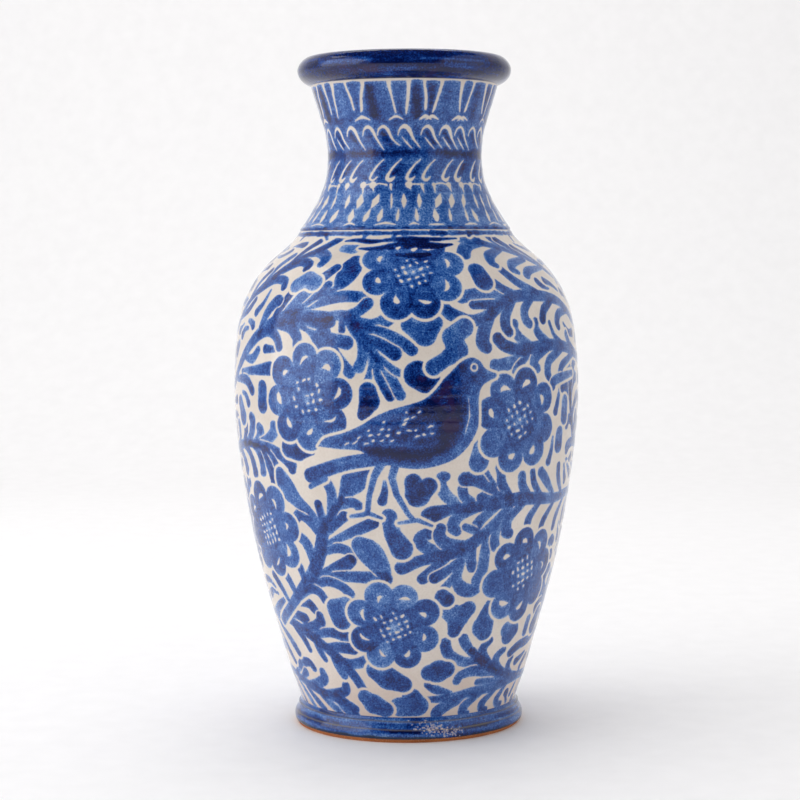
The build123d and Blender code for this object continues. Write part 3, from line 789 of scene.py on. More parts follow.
        [(-76, 27, 1.2), (-72, 19, 1.8), (-69, 14, 1.6)],
    ]),
    # right, above the foot
    ([
        [(82, 27, 1.8), (72, 27.5, 2.4), (60, 27.5, 2.8), (46, 25.2, 2.8), (33, 24.6, 2.8), (20, 22.6, 2.4),
         (9, 22.2, 1.8)],
        [(66, 28, 1.8), (52, 31, 2.4), (43, 36, 2.8), (34, 41, 2.6), (28.5, 47, 2.2)],
    ], [
        [(28.5, 46, 2.0), (25, 51, 2.6), (23.5, 54.2, 2.6)],
        [(44, 34.5, 1.6), (34, 39.5, 2.4), (24, 42, 2.6), (17.5, 46.5, 2.8), (15.5, 52.5, 2.8)],
        [(43, 36, 1.6), (35.8, 42, 2.6), (33.8, 47.5, 2.6), (37, 51.5, 2.0)],
        [(50, 32, 1.6), (43.5, 37.5, 2.4), (43, 42, 2.4), (46.5, 45, 2.0)],
        [(57, 30.5, 1.4), (52.5, 34.5, 2.0), (54, 40, 1.8)],
        [(66, 29, 1.4), (66, 33, 1.8), (70, 38, 1.6)],
        [(78, 51, 1.8), (68, 47, 2.6), (58, 45.5, 2.8), (52, 42.5, 2.4)],
        [(61, 59, 2.4), (60.5, 52, 2.4)],
        [(55, 29.5, 1.6), (40, 34, 2.6), (31, 36, 2.8), (24.5, 34.5, 2.4), (22.8, 31.5, 2.2)],
        [(50, 28.3, 1.2), (40, 29.2, 1.9), (34, 29.6, 1.8)],
        [(20, 25, 1.6), (13, 27.6, 2.4), (9.5, 30.6, 2.4)],
        [(34, 23, 1.6), (22, 19.8, 3.0), (15, 15.5, 3.2), (14.5, 12.6, 2.6)],
        [(38, 23, 1.4), (30, 18, 2.6), (28.5, 13.8, 2.4), (31, 12.4, 2.0)],
        [(47, 23, 1.4), (40.5, 17.5, 2.4), (40.8, 13.8, 2.2), (43.5, 13, 1.8)],
        [(55, 24, 1.4), (51, 18, 2.2), (52, 14.8, 2.0), (55.5, 14, 1.8)],
        [(66, 23.5, 1.2), (64.5, 17.5, 1.6)],
        [(76, 24, 1.2), (75, 17.5, 1.6)],
    ]),
]

# The vine that climbs each side of the vase, where the front's painting meets the back's
SIDE_STEM = [
    (90, 14), (96, 42), (88, 72), (95, 102), (86, 132), (94, 162),
    (87, 192), (93, 220), (86, 240), (90, 256),
]

# Dark brush marks round the shoulder, under the joint: degrees, height and half width along each
SHOULDER_MARKS = [
    [(-31, 254.2, 0.7), (-25, 254.6, 1.5), (-18, 253.8, 1.9), (-12, 254.2, 1.2)],
    [(-21, 250.4, 0.9), (-14, 250.2, 2.0), (-7, 251.2, 2.5), (0, 252, 3.1), (7, 252, 3.3), (14, 251.4, 2.4),
     (22, 252.2, 1.0)],
    [(-9, 254.4, 1.4), (2, 254.9, 2.2), (10, 254.6, 2.0), (27, 255.2, 0.7)],
    [(-4, 247.2, 1.5), (3, 246.6, 2.4), (9, 247.4, 1.6)],
]


def openest_way(canvas, spot, room):
    """The angle from a spot along which the least paint lies."""
    best = None
    for i in range(12):
        angle = 2 * math.pi * i / 12 + dice.uniform(-0.2, 0.2)
        total = 0.0
        for reach in (room * 1.3, room * 2.2, room * 3.2):
            there = polar(canvas, spot, reach, angle)
            row = min(max(int(there[1] / canvas.run[1]), 0), len(canvas.run) - 1)
            total += float(canvas.ink[row, int(there[0] / canvas.turn) % canvas.columns])
        if best is None or total < best[0]:
            best = (total, angle)
    return best[1]


def fill_gaps(canvas, smallest):
    """Presses loose commas into the largest bare places until none is left that takes one."""
    nearly = 0.02
    low_edge, high_edge = canvas.run[0] + 1.2, canvas.run[-1] - 2.2
    guard = np.zeros((len(canvas.run), 1), dtype=np.float32)
    guard[(canvas.run < low_edge) | (canvas.run > high_edge)] = 99
    for _ in range(MOST_FILLS):
        flat = canvas.ink + guard
        deepest = flat.min()
        room = min(-deepest, REACH) - GAP
        if room < smallest:
            return
        rows, columns = np.nonzero(flat <= deepest + nearly)
        pick = dice.randrange(len(rows))
        spot = (columns[pick] * canvas.turn, float(canvas.run[rows[pick]]))
        angle = openest_way(canvas, spot, room)
        if dice.random() < 0.25:  # a fat dab, or else a slim comma
            full, stretch = min(room, 4.4), room * dice.uniform(1.0, 1.9)
        else:
            full, stretch = min(room, 2.6), room * dice.uniform(1.8, 3.0)
        bow = stretch * dice.uniform(-0.22, 0.22)
        across, up = math.cos(angle), math.sin(angle)
        head = polar(canvas, spot, -(room - full) * 0.8, angle)
        waist = offset(canvas, head, stretch * 0.5 * across - bow * up, stretch * 0.5 * up + bow * across)
        path = smooth([head, waist, polar(canvas, head, stretch, angle)], 3)
        widths = list(np.linspace(full, full * 0.45, len(path)))
        canvas.lay([(path, widths, 0.75, 0.4)], gap=GAP * dice.uniform(0.75, 1.0))


def shoulder_band(canvas):
    """The ring of cobalt under the joint, ragged along its lower edge."""
    ring, edge = 258.0, 257.6
    strokes = []
    for degrees in range(0, 360, 5):
        places = [(degrees - 1, ring), (degrees + 6, ring + dice.uniform(-0.3, 0.3))]
        tone = dice.uniform(0.4, 0.75)
        strokes.append((canvas.spots(places), [dice.uniform(0.9, 2.1), dice.uniform(0.9, 1.7)], tone, tone))
        if dice.random() < 0.3:
            drop = [(degrees, edge), (degrees + dice.uniform(-3, 3), edge - dice.uniform(1, 4))]
            strokes.append((canvas.spots(drop), [1.5, 0.9], tone, tone))
    canvas.lay(strokes)


def shoulder_marks(canvas, turn):
    """The dark marks below the ring, with a few bare flecks in them."""
    for mark in SHOULDER_MARKS:
        spots, widths = swept(canvas, turn + dice.uniform(-1.5, 1.5), mark)
        canvas.lay([(spots, widths, 0.9, 1.05)], gap=-REACH)
    for places in ([(-17, 252.4), (-11, 252.5), (-6, 253.6)], [(12, 253.7), (18, 253.2), (24, 253.4)]):
        canvas.scratch(canvas.spots(places, turn), [0.15, 0.5, 0.15])
    for degrees, height, wide in ((-3.5, 250.4, 0.9), (3.5, 249.6, 1.2), (10, 249.4, 0.6)):
        spot = canvas.spot(degrees + turn, height)
        canvas.scratch([spot, offset(canvas, spot, wide * 1.2, wide * 0.8)], [wide, wide * 0.5])


def paint_body():
    """The bird, flowers and fronds, on the front and again on the back, and a vine up each side."""
    canvas = Canvas(body_path)
    shoulder_band(canvas)
    for turn in (0, 180):
        bird(canvas, turn)
        for place in FLOWERS:
            flower(canvas, turn, *place)
        shoulder_marks(canvas, turn)
        for tone, dabs in BLOBS:
            blob(canvas, turn, dabs, tone + dice.uniform(-0.04, 0.04))
        for stems, petals in FANS:
            canvas.lay(drawn(canvas, turn, petals), slit=SLIT, stems=drawn(canvas, turn, stems))
        for stem, tips in FRONDS:
            frond(canvas, turn, stem, tips)
    for turn in (0, 180):
        vine(canvas, turn, SIDE_STEM, spacing=6.5, length=17, width=2.6)
    fill_gaps(canvas, SMALLEST_FILL)
    return canvas


def round_edges(count, jitter):
    """Degrees of so many edges round the vase, each off its even place by a share of the spacing."""
    return [360 / count * (i + dice.uniform(-jitter, jitter)) for i in range(count)]


def moved(places, degrees):
    """Places moved round the vase."""
    return [(degrees + place, height) for place, height in places]


class Neck(Canvas):
    """Solid cobalt from the joint to the lip, with the bands' pattern reserved in it."""

    def __init__(self):
        super().__init__(neck_path, spacing=0.42)
        self.ink[:] = SOLID
        heights, tones = [262, 276, 286, 312, 336], [0.36, 0.42, 0.56, 0.56, 0.48]
        self.load[:] = np.interp(self.height, heights, tones)[:, None]

    def sweep(self, places, widths):
        """Takes paint away along a curve; the widths are spread evenly along it."""
        spots = smooth(self.spots(places), 5)
        spread = np.linspace(0, 1, len(widths))
        self.scratch(spots, list(np.interp(np.linspace(0, 1, len(spots)), spread, widths)))

    def shade(self, places, width, amount, soft=3.0):
        """Adds to the load along places, or lightens it."""
        self.wash(self.spots(places), width, amount, soft)

    def tongues(self):
        """The tongues that hang under the lip, with bare lines between them."""
        sides = round_edges(30, 0.22)
        for i, edge in enumerate(sides):
            after = sides[(i + 1) % len(sides)] + (360 if i + 1 == len(sides) else 0)
            lean = (1 if i % 2 else -1) * dice.uniform(1.2, 4.6)
            foot = dice.uniform(316.8, 322)
            waist = lean * 0.45 + dice.uniform(-0.7, 0.7)
            full = dice.uniform(0.9, 1.8)
            line = [(0, 335.2), (0, 332.4), (waist, 326.5), (lean * 0.8, 321), (lean, foot)]
            widths = [full, full * 0.6, dice.uniform(0.4, 0.8), dice.uniform(0.3, 0.8), 0.25]
            self.sweep(moved(line, edge), widths)
            rise = dice.uniform(-0.3, 0.7)
            arch = [(edge, 334.9), ((edge + after) / 2, 335.2 + rise), (after, 334.9)]
            self.sweep(arch, [0.7, dice.uniform(0.1, 0.8), 0.7])
            if dice.random() < 0.6:
                reach = dice.uniform(2, 6)
                ends = [(edge + lean - reach, 315.2), (edge + lean, 316.9), (edge + lean + reach, 315.4)]
                self.sweep(ends, [0.2, dice.uniform(0.5, 1.0), 0.2])
            self.shade([(edge + 4, 331), (edge + 6, 318)], 2.4, dice.choice((-0.12, 0.1, 0.3, 0.5)))

    def leaves(self):
        """The leaves that hang from the highest line, and those turned over below the middle line."""
        for start in round_edges(25, 0.12):
            fall = dice.uniform(-0.8, 1.4)
            full = dice.uniform(0.45, 1.15)
            line = [(-4, 307.6), (-2.6, 310.6), (0.8, 312), (4, 310.2), (7, 305.8), (12, 301 + fall)]
            self.sweep(moved(line, start), [0.2, 0.4, full, full, 0.5, 0.15])
            if dice.random() < 0.5:
                self.sweep(moved([(-1, 306.5), (2.5, 303.5), (6, 300.9)], start), [0.15, 0.4, 0.15])
            self.shade(moved([(0.5, 309), (6, 303.5)], start), 1.4, dice.uniform(0.05, 0.4), 2.5)
        for start in round_edges(27, 0.22):
            full = dice.uniform(0.4, 1.1)
            line = [(10, 295.4), (5.5, 292.6), (1.5, 288.8), (0, 286), (2.4, 284.9), (5.4, 286.6)]
            self.sweep(moved(line, start), [0.15, 0.4, 0.6, full, full, 0.2])
            self.shade(moved([(4, 288), (8.5, 292.5)], start), 1.4, dice.uniform(0.0, 0.42), 2.5)

    def lattice(self):
        """The lattice of crossing tongues above the joint."""
        for edge in round_edges(34, 0.25):
            lean = dice.uniform(-2.0, 3.0)
            drop = dice.uniform(277.5, 280.5)
            line = [(edge, 282.5), (edge + lean * 0.2, 281.2), (edge + lean * 0.6, drop)]
            self.sweep(line, [dice.uniform(0.6, 1.9), 0.6, 0.15])
            if dice.random() < 0.45:
                arch = [(edge, 282.5), (edge + 5, 283 + dice.uniform(-0.2, 0.5)), (edge + 10, 282.5)]
                self.sweep(arch, [0.4, 0.3, 0.4])
            self.shade([(edge + 4, 279), (edge + 4 - lean, 272)], 1.2, dice.uniform(-0.12, 0.26), 2.5)
        for edge in round_edges(36, 0.2):
            lean = dice.uniform(-1.0, 2.6)
            full = dice.uniform(0.6, 2.0)
            self.sweep([(edge + lean, 277.8), (edge + 0.2, 274.2), (edge - lean, 270.8)], [0.15, full, 0.15])
        for edge in round_edges(36, 0.2):
            lean = dice.uniform(-1.4, 1.8)
            full = dice.uniform(0.55, 1.9)
            line = [(edge + 6 + lean, 270.2), (edge + 6, 266.6), (edge + 6 - lean * 0.5, 264.4)]
            self.sweep(line, [0.15, full, full * 0.5])
        for start in round_edges(22, 0.3):
            if dice.random() < 0.85:
                rise = dice.uniform(-0.3, 0.7)
                length = dice.uniform(5, 14)
                line = [(start, 262.2), (start + length / 2, 262.6 + rise), (start + length, 262.3)]
                self.sweep(line, [0.15, dice.uniform(0.35, 0.7), 0.15])

    def pools(self):
        """Cobalt gathered along the painted lines and at the joint."""
        lines = [(298.8, 1.6, 0.1, 0.36, 3.5), (316, 0.8, 0.0, 0.25, 3.0), (260.6, 0.5, 0.2, 0.5, 2.2)]
        for degrees in range(0, 360, 8):
            for height, width, least, most, soft in lines:
                self.shade([(degrees, height), (degrees + 9, height)], width, dice.uniform(least, most), soft)


def paint_neck():
    """The neck's bands, from the lip down."""
    canvas = Neck()
    canvas.tongues()
    canvas.leaves()
    canvas.lattice()
    canvas.pools()
    return canvas


def paint_solid(path, spacing, streaks, tone, spread):
    """A skin brushed all over in cobalt, in bands that run round it."""
    canvas = Canvas(path, spacing=spacing)
    canvas.ink[:] = SOLID
    canvas.load[:] = tone
    for _ in range(streaks):
        run = dice.uniform(canvas.run[0], canvas.run[-1])
        start = dice.uniform(0, 2 * math.pi)
        length = dice.uniform(0.2, 1.0)
        drift = dice.uniform(-0.8, 0.8)
        spots = [(start + length * k / 6, run + drift * math.sin(k)) for k in range(7)]
        canvas.wash(spots, dice.uniform(0.3, 1.4), dice.uniform(*spread), dice.uniform(1.2, 3))
    return canvas


def paint_foot():
    """Solid cobalt with three patches where gas broke through the glaze and left white bubbles."""
    canvas = paint_solid(foot_path, 0.33, 110, 0.52, (-0.2, 0.26))
    for turn, count in ((0, 150), (141, 36), (236, 44)):
        canvas.wash(canvas.spots([(3, 9.5), (10, 7), (17, 4.5), (25, 3.2)], turn), 3.0, 0.4, 5)
        for _ in range(count):
            share = min(max(dice.gauss(0.55, 0.25), 0), 1)
            degrees = turn + 3 + 21 * share + dice.gauss(0, 2.0)
            height = 9.8 - 6 * share + dice.gauss(0, 1.5)
            if 2.4 < height < 12:
                spot = canvas.spot(degrees, height)
                size = min(0.1 + dice.expovariate(9), 0.5)
                canvas.scratch([spot, offset(canvas, spot, dice.uniform(-0.2, 0.2), 0.1)], [size, size * 0.6])
    under_ridge = 6.1  # where cobalt gathers under the foot's lower ridge
    for _ in range(16):
        degrees = dice.uniform(0, 360)
        length = dice.uniform(6, 24)
        places = [(degrees + length * k / 4, under_ridge + dice.uniform(-0.3, 0.3)) for k in range(5)]
        canvas.wash(canvas.spots(places), 0.6, 0.4, 1.8)
    return canvas


# ---------------------------------------------------------------- skins
RELIEF = 0.05  # how far the paint stands above the bare glaze, in mm


def wobble(angle, height):
    """The hand's unevenness in the turned wall, in mm."""
    return (
        0.10 * np.sin(2 * angle + 0.7 + height * 0.011)
        + 0.05 * np.sin(height * 0.52 + 0.6 * np.sin(angle))
        + 0.05 * np.sin(5 * angle + height * 0.07)
        + 0.03 * np.sin(height * 1.3 + 1.5 * np.sin(angle + 2))
    )


def skin_mesh(name, places, normals, values):
    """A sheet of quads over a grid of places, with normals and labelled values at every point."""
    rows, across = places.shape[:2]
    corner = (np.arange(rows - 1)[:, None] * across + np.arange(across - 1)).ravel()
    quads = np.stack([corner, corner + 1, corner + across + 1, corner + across], axis=1)
    mesh = bpy.data.meshes.new(name)
    mesh.vertices.add(rows * across)
    mesh.vertices.foreach_set("co", places.astype(np.float32).ravel())
    mesh.loops.add(quads.size)
    mesh.loops.foreach_set("vertex_index", quads.astype(np.int32).ravel())
    mesh.polygons.add(len(quads))
    mesh.polygons.foreach_set("loop_start", np.arange(0, quads.size, 4, dtype=np.int32))
    mesh.update(calc_edges=True)
    for label, value in values:
        layer = mesh.attributes.new(label, "FLOAT", "POINT")
        layer.data.foreach_set("value", value.astype(np.float32).ravel())
    mesh.polygons.foreach_set("use_smooth", np.ones(len(quads), dtype=bool))
    mesh.normals_split_custom_set_from_vertices(normals.reshape(-1, 3))
    return mesh


def skin(name, canvas, panels, material, replaced):
    """Meshes of a painted skin, in panels side by side, that stand for CAD nodes."""
    angles = np.arange(canvas.columns) * canvas.turn
    depth = np.clip(canvas.ink, -REACH, REACH)
    relief = RELIEF * np.clip(depth / EDGE + 0.5, 0, 1)
    reach = canvas.radius[:, None] + wobble(angles[None, :], canvas.height[:, None]) + relief
    heights = np.repeat(canvas.height[:, None], canvas.columns, 1)
    grid = np.stack([reach * np.sin(angles), -reach * np.cos(angles), heights], axis=2)
    grid *= MM
    down_the_run = np.gradient(grid, axis=0)
    round_it = np.roll(grid, -1, axis=1) - np.roll(grid, 1, axis=1)
    normals = np.cross(round_it, down_the_run)
    normals /= np.maximum(np.linalg.norm(normals, axis=2, keepdims=True), 1e-12)
    core = 0.52 + 0.48 * np.clip(depth / 1.6, 0, 1)  # a stroke is paler along its rim
    load = np.clip(canvas.load * core, 0, 1.3)
    width = canvas.columns // panels
    for panel in range(panels):
        columns = np.arange(panel * width, (panel + 1) * width + 1) % canvas.columns
        label = f"{name}_{panel + 1}" if panels > 1 else name
        values = (("ink", depth[:, columns]), ("load", load[:, columns]))
        mesh = skin_mesh(label, grid[:, columns], normals[:, columns], values)
        mesh.materials.append(material)
        piece = bpy.data.objects.new(mesh.name, mesh)
        bpy.context.scene.collection.objects.link(piece)
        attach(piece, "root")
    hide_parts(*replaced)


# ---------------------------------------------------------------- materials
def linear(red, green, blue):
    """A colour given in 8-bit display values, as Blender's scene-linear values."""

    def one(value):
        value /= 255
        return value / 12.92 if value < 0.04045 else ((value + 0.055) / 1.055) ** 2.4

    return (one(red), one(green), one(blue), 1.0)


class Recipe:
    """A node material in the making."""

    def __init__(self, name):
        self.material = bpy.data.materials.new(name)
        self.material.use_nodes = True
        self.tree = self.material.node_tree
        self.shader = self.tree.nodes["Principled BSDF"]
        self.place = self.node("TexCoord").outputs["Object"]

    def node(self, kind, **inputs):
        """A new node of a kind, with sources or values for its named inputs."""
        node = self.tree.nodes.new("ShaderNode" + kind)
        for name, source in inputs.items():
            self.link(source, node.inputs[name])
        return node

    def link(self, source, target):
        """Feeds a socket from another socket or from a plain value."""
        if isinstance(source, (int, float, tuple)):
            target.default_value = source
        else:
            self.tree.links.new(source, target)

    def attribute(self, name):
        """The value that the mesh's points carry under a name."""
        node = self.node("Attribute")
        node.attribute_name = name
        return node.outputs["Fac"]

    def stretched(self, x, y, z):
        """The object's coordinates, scaled along each axis."""
        return self.node("Mapping", Vector=self.place, Scale=(x, y, z)).outputs["Vector"]

    def noise(self, scale, detail=3.0, roughness=0.55, vector=None):
        """Cloudy noise from 0 to 1; the scale is in clouds to the metre."""
        inputs = {"Vector": vector or self.place, "Scale": scale, "Detail": detail, "Roughness": roughness}
        return self.node("TexNoise", **inputs).outputs["Fac"]

    def height(self):
        """The height above the foot, in metres."""
        return self.node("SeparateXYZ", Vector=self.place).outputs["Z"]

    def cells(self, scale):
        """Scattered cells: the distance from the middle of each, and a random colour for it."""
        node = self.node("TexVoronoi", Vector=self.place, Scale=scale)
        return node.outputs["Distance"], node.outputs["Color"]

    def math(self, operation, a, b=0.0, c=0.0):
        """Arithmetic on sockets or plain values."""
        node = self.node("Math")
        node.operation = operation
        for value, socket in zip((a, b, c), node.inputs):
            self.link(value, socket)
        return node.outputs[0]

    def ramp(self, value, low, high, start=0.0, end=1.0, kind="SMOOTHSTEP"):
        """Takes a value's range, low to high, to start to end."""
        node = self.node("MapRange", Value=value)
        node.interpolation_type = kind
        ends = {"From Min": low, "From Max": high, "To Min": start, "To Max": end}
        for name, number in ends.items():
            node.inputs[name].default_value = number
        return node.outputs[0]

    def colours(self, value, stops):
        """The colour that a value picks from stops of (position, colour)."""
        node = self.node("ValToRGB", Fac=value)
        while len(node.color_ramp.elements) < len(stops):
            node.color_ramp.elements.new(0.5)
        for element, (position, colour) in zip(node.color_ramp.elements, stops):
            element.position = position
            element.color = colour
        return node.outputs["Color"]

    def mix(self, share, a, b):
        """Colour a, with a share of colour b."""
        factor, first, second, result = 0, 6, 7, 2  # the node's sockets for colours
        node = self.node("Mix")
        node.data_type = "RGBA"
        for source, socket in ((share, factor), (a, first), (b, second)):
            self.link(source, node.inputs[socket])
        return node.outputs[result]

    def finish(self, colour, roughness, bumps, specular=0.5):
        """Sets the colour and roughness, and stacks bumps given as (height, distance in metres)."""
        self.link(colour, self.shader.inputs["Base Color"])
        self.link(roughness, self.shader.inputs["Roughness"])
        self.shader.inputs["Specular IOR Level"].default_value = specular
        normal = None
        for height, distance in bumps:
            node = self.node("Bump", Strength=1.0, Distance=distance, Height=height)
            if normal:
                self.link(normal, node.inputs["Normal"])
            normal = node.outputs["Normal"]
        self.link(normal, self.shader.inputs["Normal"])
        return self.material


FOOT_RIDGES = (0.0106, 0.0066)  # heights of the foot's turned ridges, where the glaze runs thin, in metres
COBALT = [
    (0.0, linear(150, 176, 214)),
    (0.22, linear(90, 130, 190)),
    (0.45, linear(44, 92, 164)),
    (0.68, linear(15, 58, 134)),
    (0.86, linear(2, 32, 98)),
    (1.0, linear(0, 13, 64)),
]


def cream(recipe):
    """Tin glaze: warm white, cloudy, pinker near the foot, with rare iron specks."""
    cloud = recipe.noise(38, 4)
    base = recipe.colours(cloud, [(0.3, linear(214, 203, 192)), (0.7, linear(228, 219, 210))])
    cloudy_height = recipe.math("ADD", recipe.height(), recipe.math("MULTIPLY", cloud, 0.03))
    base = recipe.mix(recipe.ramp(cloudy_height, 0.02, 0.075, 0.75, 0.0), base, linear(216, 192, 178))
    grain = recipe.ramp(recipe.noise(900, 3, 0.7), 0.4, 0.75, 0.0, 0.3)
    base = recipe.mix(grain, base, linear(196, 180, 166))
    near, tint = recipe.cells(95)
    chance = recipe.node("SeparateColor", Color=tint).outputs[0]
    rare = recipe.math("GREATER_THAN", chance, 0.985)
    speck = recipe.math("MULTIPLY", rare, recipe.ramp(near, 0.05, 0.09, 1.0, 0.0))
    return recipe.mix(speck, base, linear(190, 112, 62))


def painted_glaze(name, streak=(1, 1, 1)):
    """Cobalt in tin glaze: the brush's load sets the depth of blue, and the glaze breaks it into grain."""
    recipe = Recipe(name)
    ink = recipe.attribute("ink")
    load = recipe.attribute("load")
    ragged = recipe.ramp(recipe.noise(1100, 2), 0.25, 0.75, -0.16, 0.16, "LINEAR")
    edge = recipe.ramp(recipe.math("ADD", ink, ragged), -0.3, 0.35)
    grain = recipe.ramp(recipe.noise(1150, 3, 0.8), 0.3, 0.7, -0.38, 0.32, "LINEAR")
    strokes = recipe.noise(190, 5, 0.65, recipe.stretched(*streak))
    brush = recipe.ramp(strokes, 0.28, 0.72, -0.18, 0.18, "LINEAR")
    pool = recipe.ramp(recipe.noise(55, 3), 0.3, 0.75, -0.08, 0.12, "LINEAR")
    depth = recipe.math("ADD", recipe.math("ADD", load, grain), recipe.math("ADD", brush, pool))
    blue = recipe.colours(depth, COBALT)
    # iron browns the heaviest cobalt
    iron = recipe.ramp(recipe.noise(70, 3), 0.56, 0.68)
    heavy = recipe.ramp(depth, 0.55, 0.9, 0.0, 0.7)
    blue = recipe.mix(recipe.math("MULTIPLY", iron, heavy), blue, linear(44, 26, 70))
    # the glaze runs thin on the foot's ridges, and the foot is darkened to near black below about 3 mm
    height = recipe.height()
    sway = recipe.ramp(recipe.noise(45, 2), 0.3, 0.7, -0.0003, 0.0003, "LINEAR")
    for ridge in FOOT_RIDGES:
        off = recipe.math("ABSOLUTE", recipe.math("SUBTRACT", recipe.math("ADD", height, sway), ridge))
        blue = recipe.mix(recipe.ramp(off, 0.0001, 0.0006, 0.55, 0.0), blue, linear(112, 104, 92))
    low = recipe.math("ADD", height, recipe.math("MULTIPLY", sway, 3.0))
    blue = recipe.mix(recipe.ramp(low, 0.0024, 0.0036, 0.85, 0.0), blue, linear(20, 26, 30))
    colour = recipe.mix(edge, cream(recipe), blue)
    peel = recipe.noise(260, 2)
    pits = recipe.ramp(recipe.noise(1300, 2), 0.62, 0.8, 1.0, 0.0)
    rough = recipe.ramp(recipe.noise(300, 2), 0.3, 0.7, 0.07, 0.16, "LINEAR")
    return recipe.finish(colour, rough, [(peel, 0.00012), (pits, 0.00003)])


def plain_glaze():
    """Unpainted tin glaze, with the rings of the wheel showing through."""
    recipe = Recipe("plain_tin_glaze")
    rings = recipe.noise(60, 3, 0.6, recipe.stretched(0.05, 0.05, 3.0))
    peel = recipe.noise(240, 2)
    rough = recipe.ramp(peel, 0.3, 0.7, 0.1, 0.2, "LINEAR")
    return recipe.finish(cream(recipe), rough, [(rings, 0.0006), (peel, 0.0001)])


def terracotta(name, light, dark):
    """Bare fired clay: ochre to red, gritty, with fine turning lines."""
    recipe = Recipe(name)
    cloud = recipe.noise(45, 5)
    colour = recipe.colours(cloud, [(0.25, dark), (0.75, light)])
    grit = recipe.ramp(recipe.noise(1700, 2), 0.58, 0.7, 0.0, 0.55)
    colour = recipe.mix(grit, colour, linear(236, 190, 150))
    lines = recipe.noise(420, 3, 0.7, recipe.stretched(0.03, 0.03, 1.0))
    rough = recipe.ramp(cloud, 0.2, 0.8, 0.75, 0.95, "LINEAR")
    return recipe.finish(colour, rough, [(grit, 0.00008), (lines, 0.0001)], 0.3)


# ---------------------------------------------------------------- building
body_paint = paint_body()
neck_paint = paint_neck()
lip_paint = paint_solid(lip_path, 0.42, 190, 0.98, (-0.32, 0.2))
foot_paint = paint_foot()

body_material = painted_glaze("cobalt_painted_tin_glaze")
band_material = painted_glaze("cobalt_banded_glaze", streak=(0.6, 0.6, 2.2))
solid_material = painted_glaze("cobalt_solid_glaze", streak=(0.35, 0.35, 3.5))
skin("body_skin", body_paint, 6, body_material, ["body_glaze", "shoulder_paint_line"])
skin("neck_skin", neck_paint, 1, band_material, ["neck_glaze", *NECK_LINES])
skin("lip_skin", lip_paint, 1, solid_material, ["lip_glaze"])
skin("foot_skin", foot_paint, 1, solid_material, ["foot_glaze"])

clay = terracotta("fired_terracotta", linear(198, 126, 76), linear(158, 88, 50))
slip = terracotta("fired_slip", linear(200, 124, 76), linear(160, 90, 54))
lining = plain_glaze()
for material, nodes in (
    (clay, ["foot_ring", "body_wall", "neck_wall", "lip_ring"]),
    (slip, ["foot_slip_joint", "neck_slip_joint", "lip_slip_joint"]),
    (lining, ["inner_glaze"]),
):
    for node in nodes:
        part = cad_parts[node]
        part.data.materials.clear()
        part.data.materials.append(material)

# ---------------------------------------------------------------- studio, in metres
floor_z = bounds_at_start[0][2]


def strip(name, corners):
    """A mesh of one band of quads; the corners come in pairs, side by side."""
    mesh = bpy.data.meshes.new(name)
    faces = [(2 * i, 2 * i + 1, 2 * i + 3, 2 * i + 2) for i in range(len(corners) // 2 - 1)]
    mesh.from_pydata(corners, [], faces)
    thing = bpy.data.objects.new(name, mesh)
    bpy.context.scene.collection.objects.link(thing)
    return thing


def sweep_backdrop():
    """A seamless paper sweep: level under the vase, curving up behind it."""
    depth, bend, top, half = 1.1, 0.6, 2.4, 3.0
    profile = [(-3.0, 0.0), (-1.0, 0.0), (depth, 0.0)]
    for i in range(1, 13):
        angle = math.pi / 2 * i / 12
        profile.append((depth + bend * math.sin(angle), bend * (1 - math.cos(angle))))
    profile.append((depth + bend, top))
    sweep = strip("paper_sweep", [(x, y, floor_z + z) for y, z in profile for x in (-half, half)])
    mesh = sweep.data
    mesh.polygons.foreach_set("use_smooth", [True] * len(mesh.polygons))
    recipe = Recipe("studio_paper")
    tooth = recipe.noise(60, 3)
    paper = recipe.colours(tooth, [(0.3, linear(245, 244, 244)), (0.7, linear(248, 247, 247))])
    mesh.materials.append(recipe.finish(paper, 0.6, [(tooth, 0.0001)], 0.2))


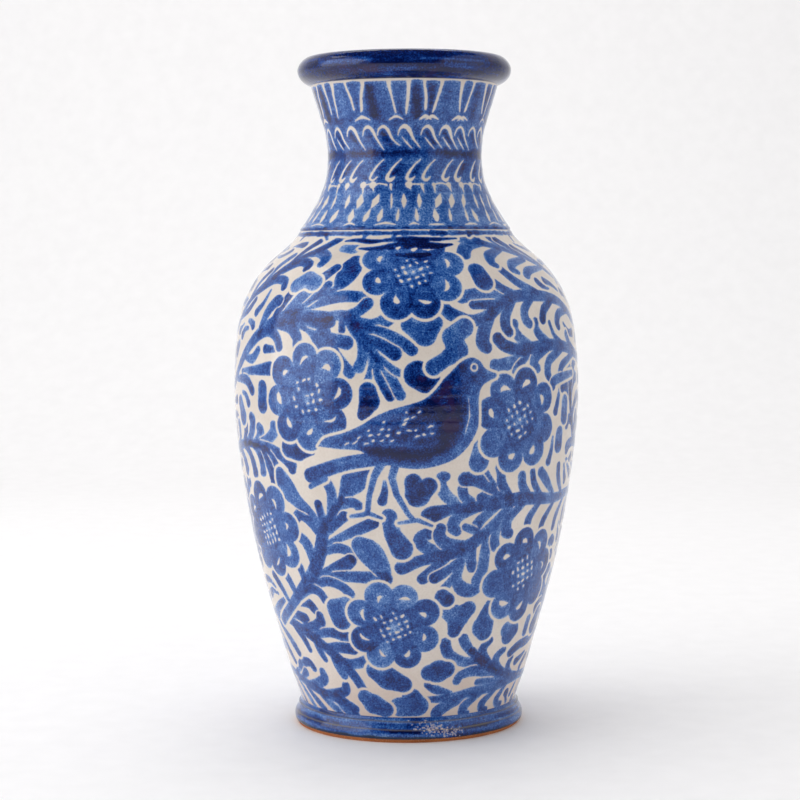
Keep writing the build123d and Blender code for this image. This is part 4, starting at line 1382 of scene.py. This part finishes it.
def dark_slit():
    """The tent's open front, seen only in the glaze: a dark arch from the floor up over the camera."""
    reach, half, centre, steps = 1.35, 0.95, 0.25, 14
    corners = []
    for i in range(steps + 1):
        rise = math.radians(-10 + 130 * i / steps)
        for side in (-half, half):
            corners.append((side, -reach * math.cos(rise), centre + reach * math.sin(rise)))
    slit = strip("tent_opening", corners)
    recipe = Recipe("tent_opening")
    inputs = recipe.shader.inputs
    inputs["Base Color"].default_value = (0.02, 0.02, 0.03, 1)
    inputs["Roughness"].default_value = 1.0
    inputs["Specular IOR Level"].default_value = 0.0
    slit.data.materials.append(recipe.material)
    slit.visible_camera = False
    slit.visible_diffuse = False
    slit.visible_shadow = False
    slit.visible_transmission = False


def softbox(name, place, aim, size, power):
    """A white rectangular lamp that faces its aim."""
    light = bpy.data.lights.new(name, "AREA")
    light.shape = "RECTANGLE"
    light.size, light.size_y = size
    light.energy = power
    lamp = bpy.data.objects.new(name, light)
    bpy.context.scene.collection.objects.link(lamp)
    lamp.location = place
    lamp.rotation_euler = (Vector(aim) - Vector(place)).to_track_quat("-Z", "Y").to_euler()


sweep_backdrop()
dark_slit()
softbox("left_box", (-1.6, -0.5, 0.75), (0, 0, 0.17), (1.7, 1.8), 15)
softbox("right_box", (1.6, -0.6, 0.7), (0, 0, 0.17), (1.6, 1.8), 3.4)
softbox("top_box", (-0.2, 0.3, 1.7), (0, 0, 0.1), (1.8, 1.4), 11.5)
softbox("backdrop_box", (0.0, 0.5, 2.2), (0, 1.7, 0.7), (2.4, 0.6), 5.4)

TENT_COLOUR = (0.95, 0.946, 0.952, 1)
TENT_STRENGTH = 0.57
world = bpy.data.worlds.new("white_tent")
world.use_nodes = True
tent = world.node_tree.nodes["Background"].inputs
tent["Color"].default_value = TENT_COLOUR
tent["Strength"].default_value = TENT_STRENGTH
scene = bpy.context.scene
scene.world = world
scene.view_settings.view_transform = "Standard"
scene.view_settings.look = "None"

LENS, SENSOR = 92.9, 36  # mm
CAMERA_PLACE = (0, -1.092, floor_z + 0.248)
CAMERA_AIM = (-0.0034, 0, floor_z + 0.1703)
CAMERA_ROLL = math.radians(-0.4)
camera_data = bpy.data.cameras.new("camera")
camera_data.lens = LENS
camera_data.sensor_width = SENSOR
camera = bpy.data.objects.new("camera", camera_data)
scene.collection.objects.link(camera)
camera.location = CAMERA_PLACE
camera.rotation_euler = (Vector(CAMERA_AIM) - camera.location).to_track_quat("-Z", "Y").to_euler()
camera.rotation_euler.rotate_axis("Z", CAMERA_ROLL)
scene.camera = camera
